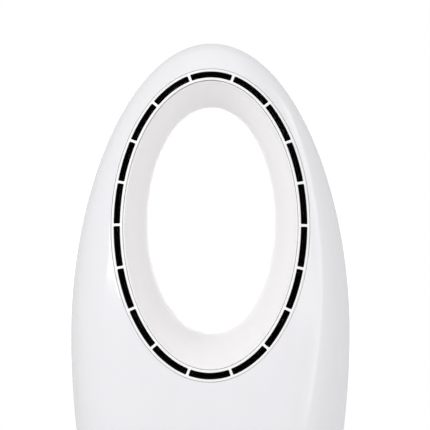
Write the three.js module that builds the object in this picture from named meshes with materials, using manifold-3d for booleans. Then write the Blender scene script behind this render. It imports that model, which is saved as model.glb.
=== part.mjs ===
// A free-standing oscillating bladeless fan. A white egg-shaped body carries an oval air opening; air drawn
// in through a grille at the back is blown up into the hollow head by a mixed-flow impeller and leaves
// through eighteen slots in a ring round the opening. The body turns from side to side on a weighted base.
// Millimetres, +Z up, the front faces -Y, and the origin is on the floor in the middle of the base.
import * as THREE from "three";
import { mergeVertices } from "three/addons/utils/BufferGeometryUtils.js";
import Module from "manifold-3d";

// ---- Driving dimensions -----------------------------------------------------------------------------
const gap = 0.3; // seam and seat gap between neighbouring pieces
const wall = 3; // moulded wall of shells, ring and sleeve

// The egg form, measured on its outer skin
const eggHalfWidth = 150;
const eggWidestZ = 285;
const crownRise = 308; // from the widest level to the crown
const crownPower = 1.9; // how full the shoulders are: 2 is an ellipse
const skirtSemiHeight = 361; // semi-height of the ellipse below the widest level
const bellyHalfDepth = 95;
const crownHalfDepth = 60;
const bellyZ = 150; // the depth narrows from this level up to the crown
const facePower = 5; // how flat the front and back faces are: 2 is an ellipsoid
const outerFacets = { around: 36, skirt: 4, crown: 8 };
const innerFacets = { around: 28, skirt: 4, crown: 6 };
const bodyBottomZ = 34;
const partingY = 0; // the seam between front and rear shell

// The outlet ring and its slots, on the ring's middle line, an ellipse seen from the front
const ringZ = 397;
const ringSemiWidth = 98;
const ringCrownMargin = 37.5; // from the crown down to the top of the middle line
const ringSemiHeight = eggWidestZ + crownRise - ringCrownMargin - ringZ;
const ringHalfBand = 6.1; // half the width of the ring's face
const ringThick = 3.6;
const slotCount = 18;
const slotWidth = 6.1;
const bridgeWidth = 3.1; // solid bar between two slots
const slotSteps = 2; // straight steps along one slot
const linerDepth = 14;

// The oval opening
const throatLift = 5; // the throat's centre lies this much above the ring's
const throatZ = ringZ + throatLift;
const throatY = 25;
const throatSideInset = 30; // the throat is this much narrower than the ring on each side
const throatEndInset = 35.5; // and this much lower at its top and bottom
const throatSemiWidth = ringSemiWidth - throatSideInset;
const throatSemiHeight = ringSemiHeight - throatEndInset;
const sleeveRecess = 0.5; // the sleeve's front edge lies this far behind the ring's face
const sleeveLand = 0.8; // flat front edge of the sleeve
const lipReach = 28; // from the throat out to where the rear lip joins the rear skin
const lipFullness = 0.55; // length of the lip curve's lead into the rear skin, as a share of its reach
const lipSteps = 3;
const lipAround = 28;
const lipTongue = 3; // the lip's edge runs this far into the rear skin

// Control panel in the lower front
const panelZ = 95;
const panelHalfLength = 66;
const panelHalfHeight = 22;
const buttonZ = 86;
const buttonPitch = 24;
const buttonRadius = 5.7;
const buttonProud = 0.9;
const buttonTravel = 0.8;
const buttonFlange = 1.5; // how far the retaining flange stands out behind the panel
const buttonFlangeThick = 1.2;
const buttonFlangeRoom = 0.9; // between the flange and the inside of the panel
const buttonStemRadius = 2.4;
const lensZ = 104.5;
const lensHalfLength = 24;
const lensHalfHeight = 7.5;
const boardFrontY = -74;
const boardThick = 1.6;
const boardHalfLength = 62;
const boardHalfHeight = 19;
const switchHeight = 3.5;
const switchSide = 6;
const displayHalfLength = 22;
const displayHalfHeight = 6;
const displaySetback = 1.3; // behind the back of the lens at its ends
const panelPostRadius = 2.4;
const panelPostX = 60;
const panelInnerPostX = 34; // posts beside the lens
const panelInnerPostRise = 15; // above the middle of the panel

// Rear intake grille and its filter
const grilleZ = 85;
const grilleHalfWidth = 75;
const grilleHalfHeight = 35;
const grilleCorner = 20;
const grilleRim = 3; // margin frame behind the grille that holds the filter
const grilleRimY = 71.5;
const grilleSlots = 13; // upright slots side by side
const grilleSlotWidth = 5.6;
const grilleSlotPitch = 9.6;
const grilleSlotHeight = 56;
const filterThick = 3;

// Round base
const baseRadius = 115;
const baseWall = 3;
const baseSideZ = 15; // top of the upright side, where the shoulder starts
const baseShoulder = 11; // reach of the rounded shoulder
const baseTopZ = 27;
const baseCrownZ = 28.2; // at the edge of the turntable opening
const openingRadius = 72;
const plateZ = 2; // underside of the base plate
const plateThick = 3;
const footRadius = 9;
const footHeight = 3;
const footInset = 50; // from the base's side to the feet, measured along X and along Y
const footCentre = baseRadius - footInset;
const baseScrewInset = 15; // from the base's side to its screws
const baseScrewCircle = baseRadius - baseScrewInset;
const ballastMargin = 14; // from the screws in to the ballast's rim
const ballastInner = 35;
const ballastOuter = baseScrewCircle - ballastMargin;
const ballastThick = 6;
const baseRoundSteps = 28;
const baseScrewAngles = [30, 150, 270];

// Centre post, bearing and turntable
const postRadius = 13;
const postBore = 9;
const postFlangeRadius = 30;
const postFlangeThick = 3;
const postShoulderRadius = 22;
const postShoulderZ = 20.3;
const postShoulderThick = 3;
const postTopZ = 42;
const washerThick = 3;
const turntableRadius = 71.4;
const turntableThick = 3;
const hubRadius = 20;
const hubHeight = 9.8;
const neckOuter = 69;
const neckInner = 65;
const nutRadius = 18;
const nutHeight = 5;
const floorThick = 3;
const floorZ = 35;
const floorHoleRadius = 21; // round the nut on the post
const floorScrewCircle = 61.5;
const floorScrewAngles = [90, 210, 330];
const floorBossRadius = 4.5;

// Swing drive: a toothed sector fixed to the base, and a pinion on the stepper motor of the body
const gearModule = 1.5;
const sectorTeethInCircle = 60;
const sectorTeeth = 19;
const pinionTeeth = 15;
const gearBacklash = 0.35;
const toothHeights = [-1.25, -0.2, 0.9]; // root, flank and tip, in modules from the pitch circle
const pressureAngle = 20;
const gearThick = 7;
const sectorInner = 33;
const pinionShaftRadius = 2.5;
const stepperRadius = 14;
const stepperHeight = 19;
const stepperBossRadius = 4.6;
const stepperEarReach = 17.5;
const stepperEarRadius = 3.5;
const stepperEarThick = 1;
const shaftInStepper = 10;

// Power inlet in the back of the base, and its lead
const inletZ = 13;
const inletSetback = 0.8; // the inlet's face lies this far inside the base's side
const inletFaceY = baseRadius - inletSetback;
const inletHalfWidth = 12.5;
const inletHalfHeight = 7.2;
const inletFlange = 1.5;
const inletDepth = 18;
const inletBodyMargin = 1.5;
const inletCorner = 2;
const socketRadius = 4.2;
const socketPitch = 8.6;
const socketDepth = 13;
const socketWaist = 6.4; // height of the socket between its two round ends
const inletPinRadius = 1.2;
const inletPinLength = 9; // standing free inside the socket
const inletPinTail = 2; // standing out behind the inlet
const leadRadius = 2.6;
const leadBend = 7; // reach of the lead's turn upwards

// Power board over the post: the inner lead comes up into the terminal block under it
const powerBoard = { x0: -70, x1: 20, y0: -30, y1: 30, z: 62 };
const transformerBlock = { x: -53, y: -13, half: 10, height: 18 };
const capacitorCan = { x: 6, y: 16, radius: 9, height: 28 };
const heatSinkPlate = { x: -51, y: 16, halfLength: 11, thick: 4, height: 20 };
const boardPostRadius = 3;
const terminalHeight = 6;
const terminalSide = 12;

// Fan deck, fan housing, impeller and motor, all on the Z axis
const deckZ = 126;
const deckThick = 3;
const deckHole = 62;
const bracketX = 70;
const bracketWidth = 14;
const bracketReach = 6;
const bracketThick = 3;
const isolatorHeight = 5.7;
const isolatorRadius = 6;
const isolatorNeck = 2.7;
const isolatorCapRadius = 4.5; // a barbed top that snaps through the housing's ear
const isolatorCapHeight = 2;
const isolatorCircle = 83;
const isolatorAngles = [210, 330, 90];
const housingWall = 2.5;
const housingRadius = 76;
const housingTopZ = 206;
const housingFlange = 80;
const eyeRadius = 54.5;
// Corners of the shroud line, as shares of the way out to the housing's wall and up the impeller
const shroudCorners = [[0, -0.06], [0.21, 0.2], [0.69, 0.58], [1, 0.9]];
const earRadius = 7.5;
const bladeCount = 7;
const bladeThick = 1.8;
const bladeRoot = 11;
const bladeSweep = 50; // degrees, from root to tip
const bladeClearance = 1;
const impellerZ = 140;
const impellerHeight = 34.5;
const impellerRadius = 70.2;
const impellerHubRadius = 46;
const hubNoseRadius = 9;
const hubCoreRadius = 10;
const hubCoreDrop = 4; // the core ends this far under the hub's top
const hubWall = 3;
const shaftRadius = 2.7;
const shaftBottomZ = 133.5;
const shaftTopZ = 204.5;
const shaftNutRadius = 6;
const shaftNutHeight = 3.8;
const motorZ = 176.3;
const motorHeight = 26.7;
const motorRadius = 33;
const motorWall = 2;
const bearingRadius = 9.3;
const bearingHeight = 4;
const statorHeight = 16;
const statorYoke = 4;
const statorPoles = 9;
const poleWidth = 6;
const coreLift = 1; // of stator and rotor above the lower bearing
const rotorRadius = 16.5;
const airGap = 0.5;
const diffuserWall = 2.7;
const vaneCount = 7;
const vaneThick = 2;
const vaneHeight = 20.7;
const vaneRoot = 1; // the vanes start this far into the diffuser's ring
const vaneLean = 25;
const capHeight = 20;
const capWall = 2.7;

// Screws: 3 mm self-tappers
const screwHeadRadius = 3.8;
const screwHeadHeight = 2.4;
const screwShankRadius = 1.3;
const screwHoleRadius = 1.9;
const pilotRadius = 1.6;
const shellBossRadius = 6;
const shellSpigotRadius = 4.5;
const shellScrewSeatY = 12;
const shellScrewLength = 23;
const shellPilotDepth = 14; // of the pilot hole, in front of the parting seam
const lowShellScrew = [100, 62];
const highShellScrew = [128, 228];

// ---- Materials --------------------------------------------------------------------------------------
const plastic = (color, roughness) => new THREE.MeshStandardMaterial({ color, roughness, metalness: 0 });
const metal = (color, roughness) => new THREE.MeshStandardMaterial({ color, roughness, metalness: 1 });
const glossWhite = plastic(0xf0f0f2, 0.18);
const satinWhite = plastic(0xf6f6f5, 0.45);
const sleeveWhite = plastic(0xefeeec, 0.5);
const greyPlastic = plastic(0x8c8f92, 0.5);
const darkPlastic = plastic(0x2b2c2e, 0.55);
const blackPlastic = plastic(0x111113, 0.6);
const lensPlastic = plastic(0x0c0d10, 0.08);
const rubber = plastic(0x222222, 0.85);
const filterMesh = plastic(0x3a3c3e, 0.9);
const acetal = plastic(0xe8e4d8, 0.4);
const boardGreen = plastic(0x1f5b3a, 0.5);
const impellerGrey = plastic(0x55585c, 0.45);
const steel = metal(0xb5b8bb, 0.35);
const darkSteel = metal(0x6a6d70, 0.5);
const zinc = metal(0xc9ccd0, 0.3);
const brass = metal(0xc2a04e, 0.3);

// ---- Solids: joining and cutting --------------------------------------------------------------------
const wasm = await Module();
wasm.setup();

// A closed geometry as a solid, with its faces turned outwards.
function solidOf(geometry) {
  const bare = new THREE.BufferGeometry();
  bare.setAttribute("position", geometry.getAttribute("position"));
  if (geometry.index) bare.setIndex(geometry.index);
  const merged = mergeVertices(bare, 1e-4);
  const position = merged.attributes.position;
  const corners = [];
  let volume = 0;
  const [a, b, c] = [new THREE.Vector3(), new THREE.Vector3(), new THREE.Vector3()];
  for (let i = 0; i < merged.index.count; i += 3) {
    const [p, q, r] = [0, 1, 2].map((k) => merged.index.getX(i + k));
    if (p === q || q === r || r === p) continue;
    corners.push(p, q, r);
    a.fromBufferAttribute(position, p);
    b.fromBufferAttribute(position, q);
    c.fromBufferAttribute(position, r);
    volume += a.dot(b.cross(c));
  }
  if (volume < 0) {
    for (let i = 0; i < corners.length; i += 3) {
      [corners[i + 1], corners[i + 2]] = [corners[i + 2], corners[i + 1]];
    }
  }
  const vertProperties = Float32Array.from(position.array);
  const triVerts = Uint32Array.from(corners);
  return new wasm.Manifold(new wasm.Mesh({ numProp: 3, vertProperties, triVerts }));
}

function geometryOf(solid) {
  const mesh = solid.getMesh();
  const geometry = new THREE.BufferGeometry();
  geometry.setAttribute("position", new THREE.BufferAttribute(Float32Array.from(mesh.vertProperties), 3));
  geometry.setIndex(new THREE.BufferAttribute(Uint32Array.from(mesh.triVerts), 1));
  const faceted = geometry.toNonIndexed();
  faceted.computeVertexNormals();
  return faceted;
}

const join = (first, ...others) => others.reduce((made, other) => made.add(other), first);
const cut = (first, ...others) => others.reduce((made, other) => made.subtract(other), first);

// ---- Outlines and simple solids ---------------------------------------------------------------------
const radians = THREE.MathUtils.degToRad;

function box(x0, x1, y0, y1, z0, z1) {
  const geometry = new THREE.BoxGeometry(x1 - x0, y1 - y0, z1 - z0);
  return solidOf(geometry.translate((x0 + x1) / 2, (y0 + y1) / 2, (z0 + z1) / 2));
}

function extruded(outline, depth, holes = []) {
  const shape = new THREE.Shape(outline);
  shape.holes = holes.map((hole) => new THREE.Path(hole));
  return new THREE.ExtrudeGeometry(shape, { depth, bevelEnabled: false, steps: 1 });
}

// An outline drawn in X and Z, extruded along Y.
function prismY(outline, y0, y1, holes) {
  return solidOf(extruded(outline, y1 - y0, holes).rotateX(Math.PI / 2).translate(0, y1, 0));
}

// An outline drawn in X and Y, extruded along Z.
function prismZ(outline, z0, z1, holes) {
  return solidOf(extruded(outline, z1 - z0, holes).translate(0, 0, z0));
}

// A closed profile of [radius, height] corners, turned about the Z axis.
function turned(profile, steps) {
  const corners = profile.map(([r, z]) => new THREE.Vector2(r, z));
  if (profile[0][0] > 0) corners.push(corners[0].clone());
  return solidOf(new THREE.LatheGeometry(corners, steps).rotateX(Math.PI / 2));
}

function disc(radius, z0, z1, steps = 16) {
  return turned([[0, z0], [radius, z0], [radius, z1], [0, z1]], steps);
}

function ringDisc(inner, outer, z0, z1, steps = 20) {
  return turned([[inner, z0], [outer, z0], [outer, z1], [inner, z1]], steps);
}

// A round bar along Y.
function barY(x, z, radius, y0, y1, steps = 16) {
  const geometry = new THREE.CylinderGeometry(radius, radius, y1 - y0, steps);
  return solidOf(geometry.translate(x, (y0 + y1) / 2, z));
}

// A round bar along Z.
function barZ(x, y, radius, z0, z1, steps = 16) {
  const geometry = new THREE.CylinderGeometry(radius, radius, z1 - z0, steps).rotateX(Math.PI / 2);
  return solidOf(geometry.translate(x, y, (z0 + z1) / 2));
}

function arcPoints(cx, cy, radius, fromDegrees, toDegrees, steps) {
  return Array.from({ length: steps + 1 }, (_, i) => {
    const angle = radians(fromDegrees + ((toDegrees - fromDegrees) * i) / steps);
    return new THREE.Vector2(cx + radius * Math.cos(angle), cy + radius * Math.sin(angle));
  });
}

// Places [x, y] on a circle round the origin, at angles in degrees.
function onCircle(radius, angles) {
  return angles.map((angle) => [radius * Math.cos(radians(angle)), radius * Math.sin(radians(angle))]);
}

// A rectangle with round corners; equal to a pill when the corner is half its height.
function roundedBox(cx, cy, halfWidth, halfHeight, corner, steps = 5) {
  const [x, y] = [halfWidth - corner, halfHeight - corner];
  return [
    ...arcPoints(cx + x, cy + y, corner, 0, 90, steps),
    ...arcPoints(cx - x, cy + y, corner, 90, 180, steps),
    ...arcPoints(cx - x, cy - y, corner, 180, 270, steps),
    ...arcPoints(cx + x, cy - y, corner, 270, 360, steps),
  ].filter((p, i, all) => p.distanceTo(all[(i + 1) % all.length]) > 1e-6);
}

function ellipsePoint(angle, semiWidth, semiHeight, centreZ) {
  return new THREE.Vector2(semiWidth * Math.cos(angle), centreZ + semiHeight * Math.sin(angle));
}

// A closed band: one closed profile of 3-D points for each step round the opening.
function looped(profiles) {
  const steps = profiles.length;
  const corners = profiles[0].length;
  const geometry = new THREE.BufferGeometry().setFromPoints(profiles.flat());
  const index = [];
  for (let i = 0; i < steps; i += 1) {
    for (let k = 0; k < corners; k += 1) {
      const [a, b] = [i * corners + k, i * corners + ((k + 1) % corners)];
      const next = (((i + 1) % steps) - i) * corners;
      index.push(a, b, b + next, a, b + next, a + next);
    }
  }
  geometry.setIndex(index);
  return solidOf(geometry);
}

// ---- The egg form -----------------------------------------------------------------------------------
const crownZ = eggWidestZ + crownRise;

// Share of the outline's height that is used up at height z, squared: 0 at the widest level, 1 at the ends.
function heightShare(z, inset) {
  const h = z - eggWidestZ;
  return h > 0 ? (h / (crownRise - inset)) ** crownPower : (h / (skirtSemiHeight - inset)) ** 2;
}

function halfDepthAt(z, inset) {
  const t = THREE.MathUtils.clamp((z - bellyZ) / (crownZ - bellyZ), 0, 1);
  return crownHalfDepth + ((bellyHalfDepth - crownHalfDepth) * (1 + Math.cos(Math.PI * t))) / 2 - inset;
}

// How far the skin, set in by inset, lies from the middle plane at (x, z).
function skinDepth(x, z, inset = 0) {
  const share = (x / (eggHalfWidth - inset)) ** 2 + heightShare(z, inset);
  return share >= 1 ? 0 : halfDepthAt(z, inset) * Math.sqrt(1 - share ** (facePower / 2));
}

// The whole form set in by inset, from just under the body's bottom to the crown.
function egg(inset, { around, skirt, crown } = innerFacets) {
  const lowest = bodyBottomZ - wall;
  const levels = [];
  for (let i = 0; i < skirt; i += 1) levels.push(lowest + ((eggWidestZ - lowest) * i) / skirt);
  for (let i = 0; i < crown; i += 1) {
    levels.push(eggWidestZ + (crownRise - inset) * Math.sin((Math.PI / 2) * (i / crown)));
  }
  const points = [];
  for (const z of levels) {
    const left = 1 - heightShare(z, inset);
    for (let k = 0; k < around; k += 1) {
      const angle = (2 * Math.PI * k) / around;
      const share = 1 - left * Math.sin(angle) ** 2;
      const depth = halfDepthAt(z, inset) * Math.sqrt(Math.max(0, 1 - share ** (facePower / 2)));
      const x = (eggHalfWidth - inset) * Math.sqrt(left) * Math.cos(angle);
      points.push(new THREE.Vector3(x, Math.sign(Math.sin(angle)) * depth, z));
    }
  }
  const top = points.push(new THREE.Vector3(0, 0, crownZ - inset)) - 1;
  const bottom = points.push(new THREE.Vector3(0, 0, lowest)) - 1;
  const index = [];
  const last = (levels.length - 1) * around;
  for (let k = 0; k < around; k += 1) {
    const next = (k + 1) % around;
    for (let row = 0; row < last; row += around) {
      const [a, b] = [row + k, row + next];
      index.push(a, b, b + around, a, b + around, a + around);
    }
    index.push(last + k, last + next, top, next, k, bottom);
  }
  return solidOf(new THREE.BufferGeometry().setFromPoints(points).setIndex(index));
}

const far = 400; // reach of cutting blocks past the body
const outerForm = egg(0, outerFacets);
const innerForm = egg(wall);
const fittedForm = egg(wall + gap); // what fits inside the shells
const slab = (z0, z1) => box(-far, far, -far, far, z0, z1);
const frontHalf = box(-far, far, -far, partingY - gap / 2, bodyBottomZ, far * 2);
const rearHalf = box(-far, far, partingY + gap / 2, far, bodyBottomZ, far * 2);
const skin = cut(outerForm, innerForm);

// ---- The ring's path: points and normals at equal steps along its middle line ------------------------
function pathSampler() {
  const samples = 1440;
  const at = (i) => ellipsePoint((2 * Math.PI * i) / samples, ringSemiWidth, ringSemiHeight, ringZ);
  const lengths = [0];
  for (let i = 1; i <= samples; i += 1) lengths.push(lengths[i - 1] + at(i).distanceTo(at(i - 1)));
  const total = lengths[samples];
  return {
    total,
    // The middle-line point and outward normal at a distance along the line from the ring's right side.
    at(distance) {
      const wanted = THREE.MathUtils.euclideanModulo(distance, total);
      const i = Math.max(1, lengths.findIndex((length) => length >= wanted));
      const share = (wanted - lengths[i - 1]) / (lengths[i] - lengths[i - 1]);
      const angle = (2 * Math.PI * (i - 1 + share)) / samples;
      const point = ellipsePoint(angle, ringSemiWidth, ringSemiHeight, ringZ);
      const normal = new THREE.Vector2(Math.cos(angle) / ringSemiWidth, Math.sin(angle) / ringSemiHeight);
      return { angle, point, normal: normal.normalize() };
    },
  };
}

const path = pathSampler();
const slotPitch = path.total / slotCount;
const slotLength = slotPitch - bridgeWidth;
const offsetPoint = ({ point, normal }, offset) => point.clone().addScaledVector(normal, offset);

// Steps round the ring: the two edges of each bridge and the points between them along each slot.
const ringStations = [];
for (let slot = 0; slot < slotCount; slot += 1) {
  const start = slot * slotPitch + bridgeWidth / 2;
  for (let k = 0; k <= slotSteps; k += 1) ringStations.push(path.at(start + (slotLength * k) / slotSteps));
}
const ringOutline = (offset) => ringStations.map((station) => offsetPoint(station, offset));

// Fewer steps for the sleeve: the middle of each bridge and of each slot.
const sleeveStations = Array.from({ length: 2 * slotCount }, (_, i) => path.at((slotPitch * i) / 2));

const onFront = (p, inset, back = 0) => new THREE.Vector3(p.x, back - skinDepth(p.x, p.y, inset), p.y);

// A band round the opening, between two offsets from the ring's middle line, with the slots left open.
// The front and back functions place a point of the outline in depth.
function slottedBand(outer, inner, front, back) {
  const offsets = [outer, slotWidth / 2, -slotWidth / 2, inner];
  const points = ringStations.flatMap((station) =>
    offsets.flatMap((offset) => [front(offsetPoint(station, offset)), back(offsetPoint(station, offset))]));
  const stations = ringStations.length;
  const perSlot = slotSteps + 1;
  const index = [];
  const quad = (a, b, c, d) => index.push(a, b, c, a, c, d);
  const at = (station, offset, layer) => ((station % stations) * offsets.length + offset) * 2 + layer;
  const outwards = (i, k) => quad(at(i, k, 0), at(i, k, 1), at(i + 1, k, 1), at(i + 1, k, 0));
  const inwards = (i, k) => quad(at(i + 1, k, 0), at(i + 1, k, 1), at(i, k, 1), at(i, k, 0));
  for (let i = 0; i < stations; i += 1) {
    const open = i % perSlot < slotSteps;
    for (const k of open ? [0, 2] : [0, 1, 2]) {
      quad(at(i, k, 0), at(i + 1, k, 0), at(i + 1, k + 1, 0), at(i, k + 1, 0));
      quad(at(i, k + 1, 1), at(i + 1, k + 1, 1), at(i + 1, k, 1), at(i, k, 1));
    }
    outwards(i, 0);
    inwards(i, 3);
    if (open) {
      inwards(i, 1);
      outwards(i, 2);
    } else {
      quad(at(i, 1, 0), at(i, 2, 0), at(i, 2, 1), at(i, 1, 1));
      quad(at(i + 1, 2, 0), at(i + 1, 1, 0), at(i + 1, 1, 1), at(i + 1, 2, 1));
    }
  }
  return solidOf(new THREE.BufferGeometry().setFromPoints(points).setIndex(index));
}

// ---- Parts of the head ------------------------------------------------------------------------------
const outletRing = () =>
  slottedBand(ringHalfBand, -ringHalfBand, (p) => onFront(p, 0), (p) => onFront(p, ringThick));

// The black channel piece behind the ring, which carries it and guides the air to the slots.
function nozzleLiner() {
  const front = (p) => onFront(p, ringThick + gap);
  const back = (p) => onFront(p, ringThick + gap, linerDepth);
  return slottedBand(ringHalfBand, -ringHalfBand, front, back);
}

// The opening's inner wall: it narrows from the ring to the throat, steeply at first.
function ductSleeve() {
  const offset = ringHalfBand + gap;
  const steps = 3;
  const hiddenWall = wall * 1.1; // measured along the ring's normal
  const profiles = sleeveStations.map((station) => {
    const edge = offsetPoint(station, -offset);
    const throat = ellipsePoint(station.angle, throatSemiWidth, throatSemiHeight, throatZ);
    const narrowing = edge.distanceTo(throat);
    const frontY = sleeveRecess - skinDepth(edge.x, edge.y);
    const backY = throatY - gap / 2;
    const along = (t, outwards) => {
      const p = edge.clone().lerp(throat, 1 - (1 - t) ** 2).addScaledVector(station.normal, outwards);
      return new THREE.Vector3(p.x, frontY + (backY - frontY) * t, p.y);
    };
    const tHidden = 1 - Math.sqrt(1 - hiddenWall / narrowing); // where the hidden side leaves the edge
    const seen = Array.from({ length: steps }, (_, k) => along((k + 1) / steps, 0));
    const land = offsetPoint(station, -offset - sleeveLand);
    const hidden = [1, 0.5].map((t) => along(t, hiddenWall));
    const shoulder = new THREE.Vector3(edge.x, frontY + (backY - frontY) * tHidden, edge.y);
    const front = [new THREE.Vector3(edge.x, frontY, edge.y), new THREE.Vector3(land.x, frontY, land.y)];
    return [...front, ...seen, ...hidden, shoulder];
  });
  return looped(profiles);
}

// Stations round the throat: the throat point and the direction that leads away from the opening.
const throatStations = Array.from({ length: lipAround }, (_, i) => {
  const angle = (2 * Math.PI * i) / lipAround;
  const normal = new THREE.Vector2(Math.cos(angle) / throatSemiWidth, Math.sin(angle) / throatSemiHeight);
  const point = ellipsePoint(angle, throatSemiWidth, throatSemiHeight, throatZ);
  return { point, normal: normal.normalize() };
});

// The rounded lip at the back of the opening, from the throat out to the rear skin, which it meets smoothly.
function rearLip() {
  const profiles = throatStations.map((station) => {
    const depthAt = (offset, inset) => {
      const p = offsetPoint(station, offset);
      return skinDepth(p.x, p.y, inset);
    };
    const endY = depthAt(lipReach, 0);
    const fall = depthAt(lipReach - 1, 0) - depthAt(lipReach, 0); // of the skin per millimetre outwards
    const lead = lipReach * lipFullness;
    const startY = throatY + gap / 2;
    const curve = new THREE.CubicBezierCurve(
      new THREE.Vector2(0, startY),
      new THREE.Vector2(0, startY + (endY - startY) * 0.5),
      new THREE.Vector2(lipReach - lead, endY + lead * fall),
      new THREE.Vector2(lipReach, endY),
    );
    const place = (offset, y) => {
      const p = offsetPoint(station, offset);
      return new THREE.Vector3(p.x, y, p.y);
    };
    const seen = Array.from({ length: lipSteps + 1 }, (_, k) => {
      const at = curve.getPoint(k / lipSteps);
      return place(at.x, at.y);
    });
    const hidden = [1, 0.5, 0].map((t) => {
      const at = curve.getPoint(t);
      const along = curve.getTangent(t);
      return place(at.x + wall * along.y, at.y - wall * along.x);
    });
    const end = lipReach + lipTongue;
    const bite = wall * 0.3; // keeps the tongue inside the skin's two faces
    const tongue = [place(end, depthAt(end, 0) - bite), place(end, depthAt(end, wall) + bite)];
    return [...seen, ...tongue, ...hidden];
  });
  return looped(profiles);
}

// ---- The two shells, with their bosses and brackets --------------------------------------------------
const shellScrews = [lowShellScrew, highShellScrew].flatMap(([x, z]) => [[x, z], [-x, z]]);
const wallForm = egg(wall / 2); // bosses end inside the wall
const bossY = (x, z, radius, y0, y1) => barY(x, z, radius, y0, y1, 8).intersect(wallForm);

// Brackets on the inside of a shell that carry the fan deck; side is -1 at the front and 1 at the rear.
function deckBrackets(side) {
  const top = deckZ - gap;
  const half = bracketWidth / 2;
  return [-bracketX, 0, bracketX].map((x) => {
    const reach = skinDepth(Math.abs(x) + half, top - bracketThick, wall + bracketReach);
    const [y0, y1] = side < 0 ? [-far, -reach] : [reach, far];
    return box(x - half, x + half, y0, y1, top - bracketThick, top).intersect(wallForm);
  });
}

const panelOutline = (margin) =>
  roundedBox(0, panelZ, panelHalfLength + margin, panelHalfHeight + margin, panelHalfHeight + margin, 4);

function frontShell() {
  const body = cut(
    skin.intersect(frontHalf),
    prismY(ringOutline(ringHalfBand + gap), -far, 0),
    prismY(panelOutline(gap), -far, 0),
  );
  const spigots = shellScrews.map(([x, z]) => bossY(x, z, shellSpigotRadius, -far, partingY - gap / 2));
  const pilots = shellScrews.map(([x, z]) => barY(x, z, pilotRadius, -shellPilotDepth, far, 8));
  return cut(join(body, ...deckBrackets(-1), ...spigots), ...pilots);
}

const grilleOutline = (margin) =>
  roundedBox(0, grilleZ, grilleHalfWidth + margin, grilleHalfHeight + margin, grilleCorner + margin);

function rearShell() {
  const hole = throatStations.map((station) => offsetPoint(station, lipReach - gap));
  const body = cut(skin.intersect(rearHalf), prismY(hole, 0, far), prismY(grilleOutline(gap), 0, far));
  const bosses = shellScrews.map(([x, z]) => bossY(x, z, shellBossRadius, partingY + gap / 2, far));
  const holes = shellScrews.map(([x, z]) => barY(x, z, screwHoleRadius, -far, far, 8));
  const sinks = shellScrews.map(([x, z]) => barY(x, z, screwHeadRadius + 2 * gap, shellScrewSeatY, far, 8));
  return cut(join(body, rearLip(), ...deckBrackets(1), ...bosses), ...holes, ...sinks);
}

// ---- Control panel ----------------------------------------------------------------------------------
const buttonNames = ["power_button", "swing_button", "slower_button", "faster_button", "timer_button"];
const buttonX = buttonNames.map((_, i) => (i - (buttonNames.length - 1) / 2) * buttonPitch);
const lensOutline = (margin) =>
  roundedBox(0, lensZ, lensHalfLength + margin, lensHalfHeight + margin, lensHalfHeight + margin, 3);
const panelPosts = [[panelPostX, panelZ], [panelInnerPostX, panelZ + panelInnerPostRise]]
  .flatMap(([x, z]) => [[x, z], [-x, z]]);

function controlPanel() {
  const plate = skin.intersect(prismY(panelOutline(0), -far, 0));
  const posts = panelPosts.map(([x, z]) => bossY(x, z, panelPostRadius, -far, boardFrontY - gap));
  const holes = buttonX.map((x) => barY(x, buttonZ, buttonRadius + gap, -far, 0, 12));
  return cut(join(plate, ...posts), prismY(lensOutline(gap), -far, 0), ...holes);
}

const displayLens = () => skin.intersect(prismY(lensOutline(0), -far, 0));

function controlBoard() {
  const [x, z] = [boardHalfLength, boardHalfHeight];
  const plate = box(-x, x, boardFrontY, boardFrontY + boardThick, panelZ - z, panelZ + z);
  const insideY = boardFrontY + boardThick / 2; // the parts on the board are rooted this far into it
  const onBoard = (atX, atZ, halfLength, halfHeight, frontY) =>
    box(atX - halfLength, atX + halfLength, frontY, insideY, atZ - halfHeight, atZ + halfHeight);
  const displayY = displaySetback - skinDepth(lensHalfLength, lensZ, wall);
  const display = onBoard(0, lensZ, displayHalfLength, displayHalfHeight, displayY);
  const half = switchSide / 2;
  const switches = buttonX.map((at) => onBoard(at, buttonZ, half, half, boardFrontY - switchHeight));
  return join(plate, display, ...switches);
}

// One push button, drawn round its own axis with y 0 at the button's centre line crossing the skin.
function button(x) {
  const skinY = skinDepth(x, buttonZ);
  const reach = buttonRadius + buttonFlange;
  const insideY = skinDepth(Math.abs(x) + reach, buttonZ - reach, wall);
  const flangeFront = skinY - insideY + buttonFlangeRoom;
  const stemEnd = skinY + boardFrontY - switchHeight - buttonTravel - gap * 2;
  const cap = barY(0, 0, buttonRadius, -buttonProud, flangeFront + buttonFlangeThick / 2, 12);
  const flange = barY(0, 0, reach, flangeFront, flangeFront + buttonFlangeThick, 12);
  const stem = barY(0, 0, buttonStemRadius, flangeFront + buttonFlangeThick / 2, stemEnd, 6);
  return join(cap, flange, stem);
}

// ---- Intake grille and filter -----------------------------------------------------------------------
function intakeGrille() {
  const plate = skin.intersect(prismY(grilleOutline(0), 0, far));
  const hole = grilleOutline(-grilleRim).reverse();
  const rim = prismY(grilleOutline(0), grilleRimY, far, [hole]).intersect(wallForm);
  const [halfWidth, halfHeight] = [grilleSlotWidth / 2, grilleSlotHeight / 2];
  const slots = Array.from({ length: grilleSlots }, (_, i) => {
    const x = (i - (grilleSlots - 1) / 2) * grilleSlotPitch;
    return box(x - halfWidth, x + halfWidth, 0, far, grilleZ - halfHeight, grilleZ + halfHeight);
  });
  return join(cut(plate, ...slots), rim);
}

function intakeFilter() {
  return prismY(grilleOutline(-grilleRim - gap), grilleRimY, grilleRimY + filterThick);
}

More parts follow.
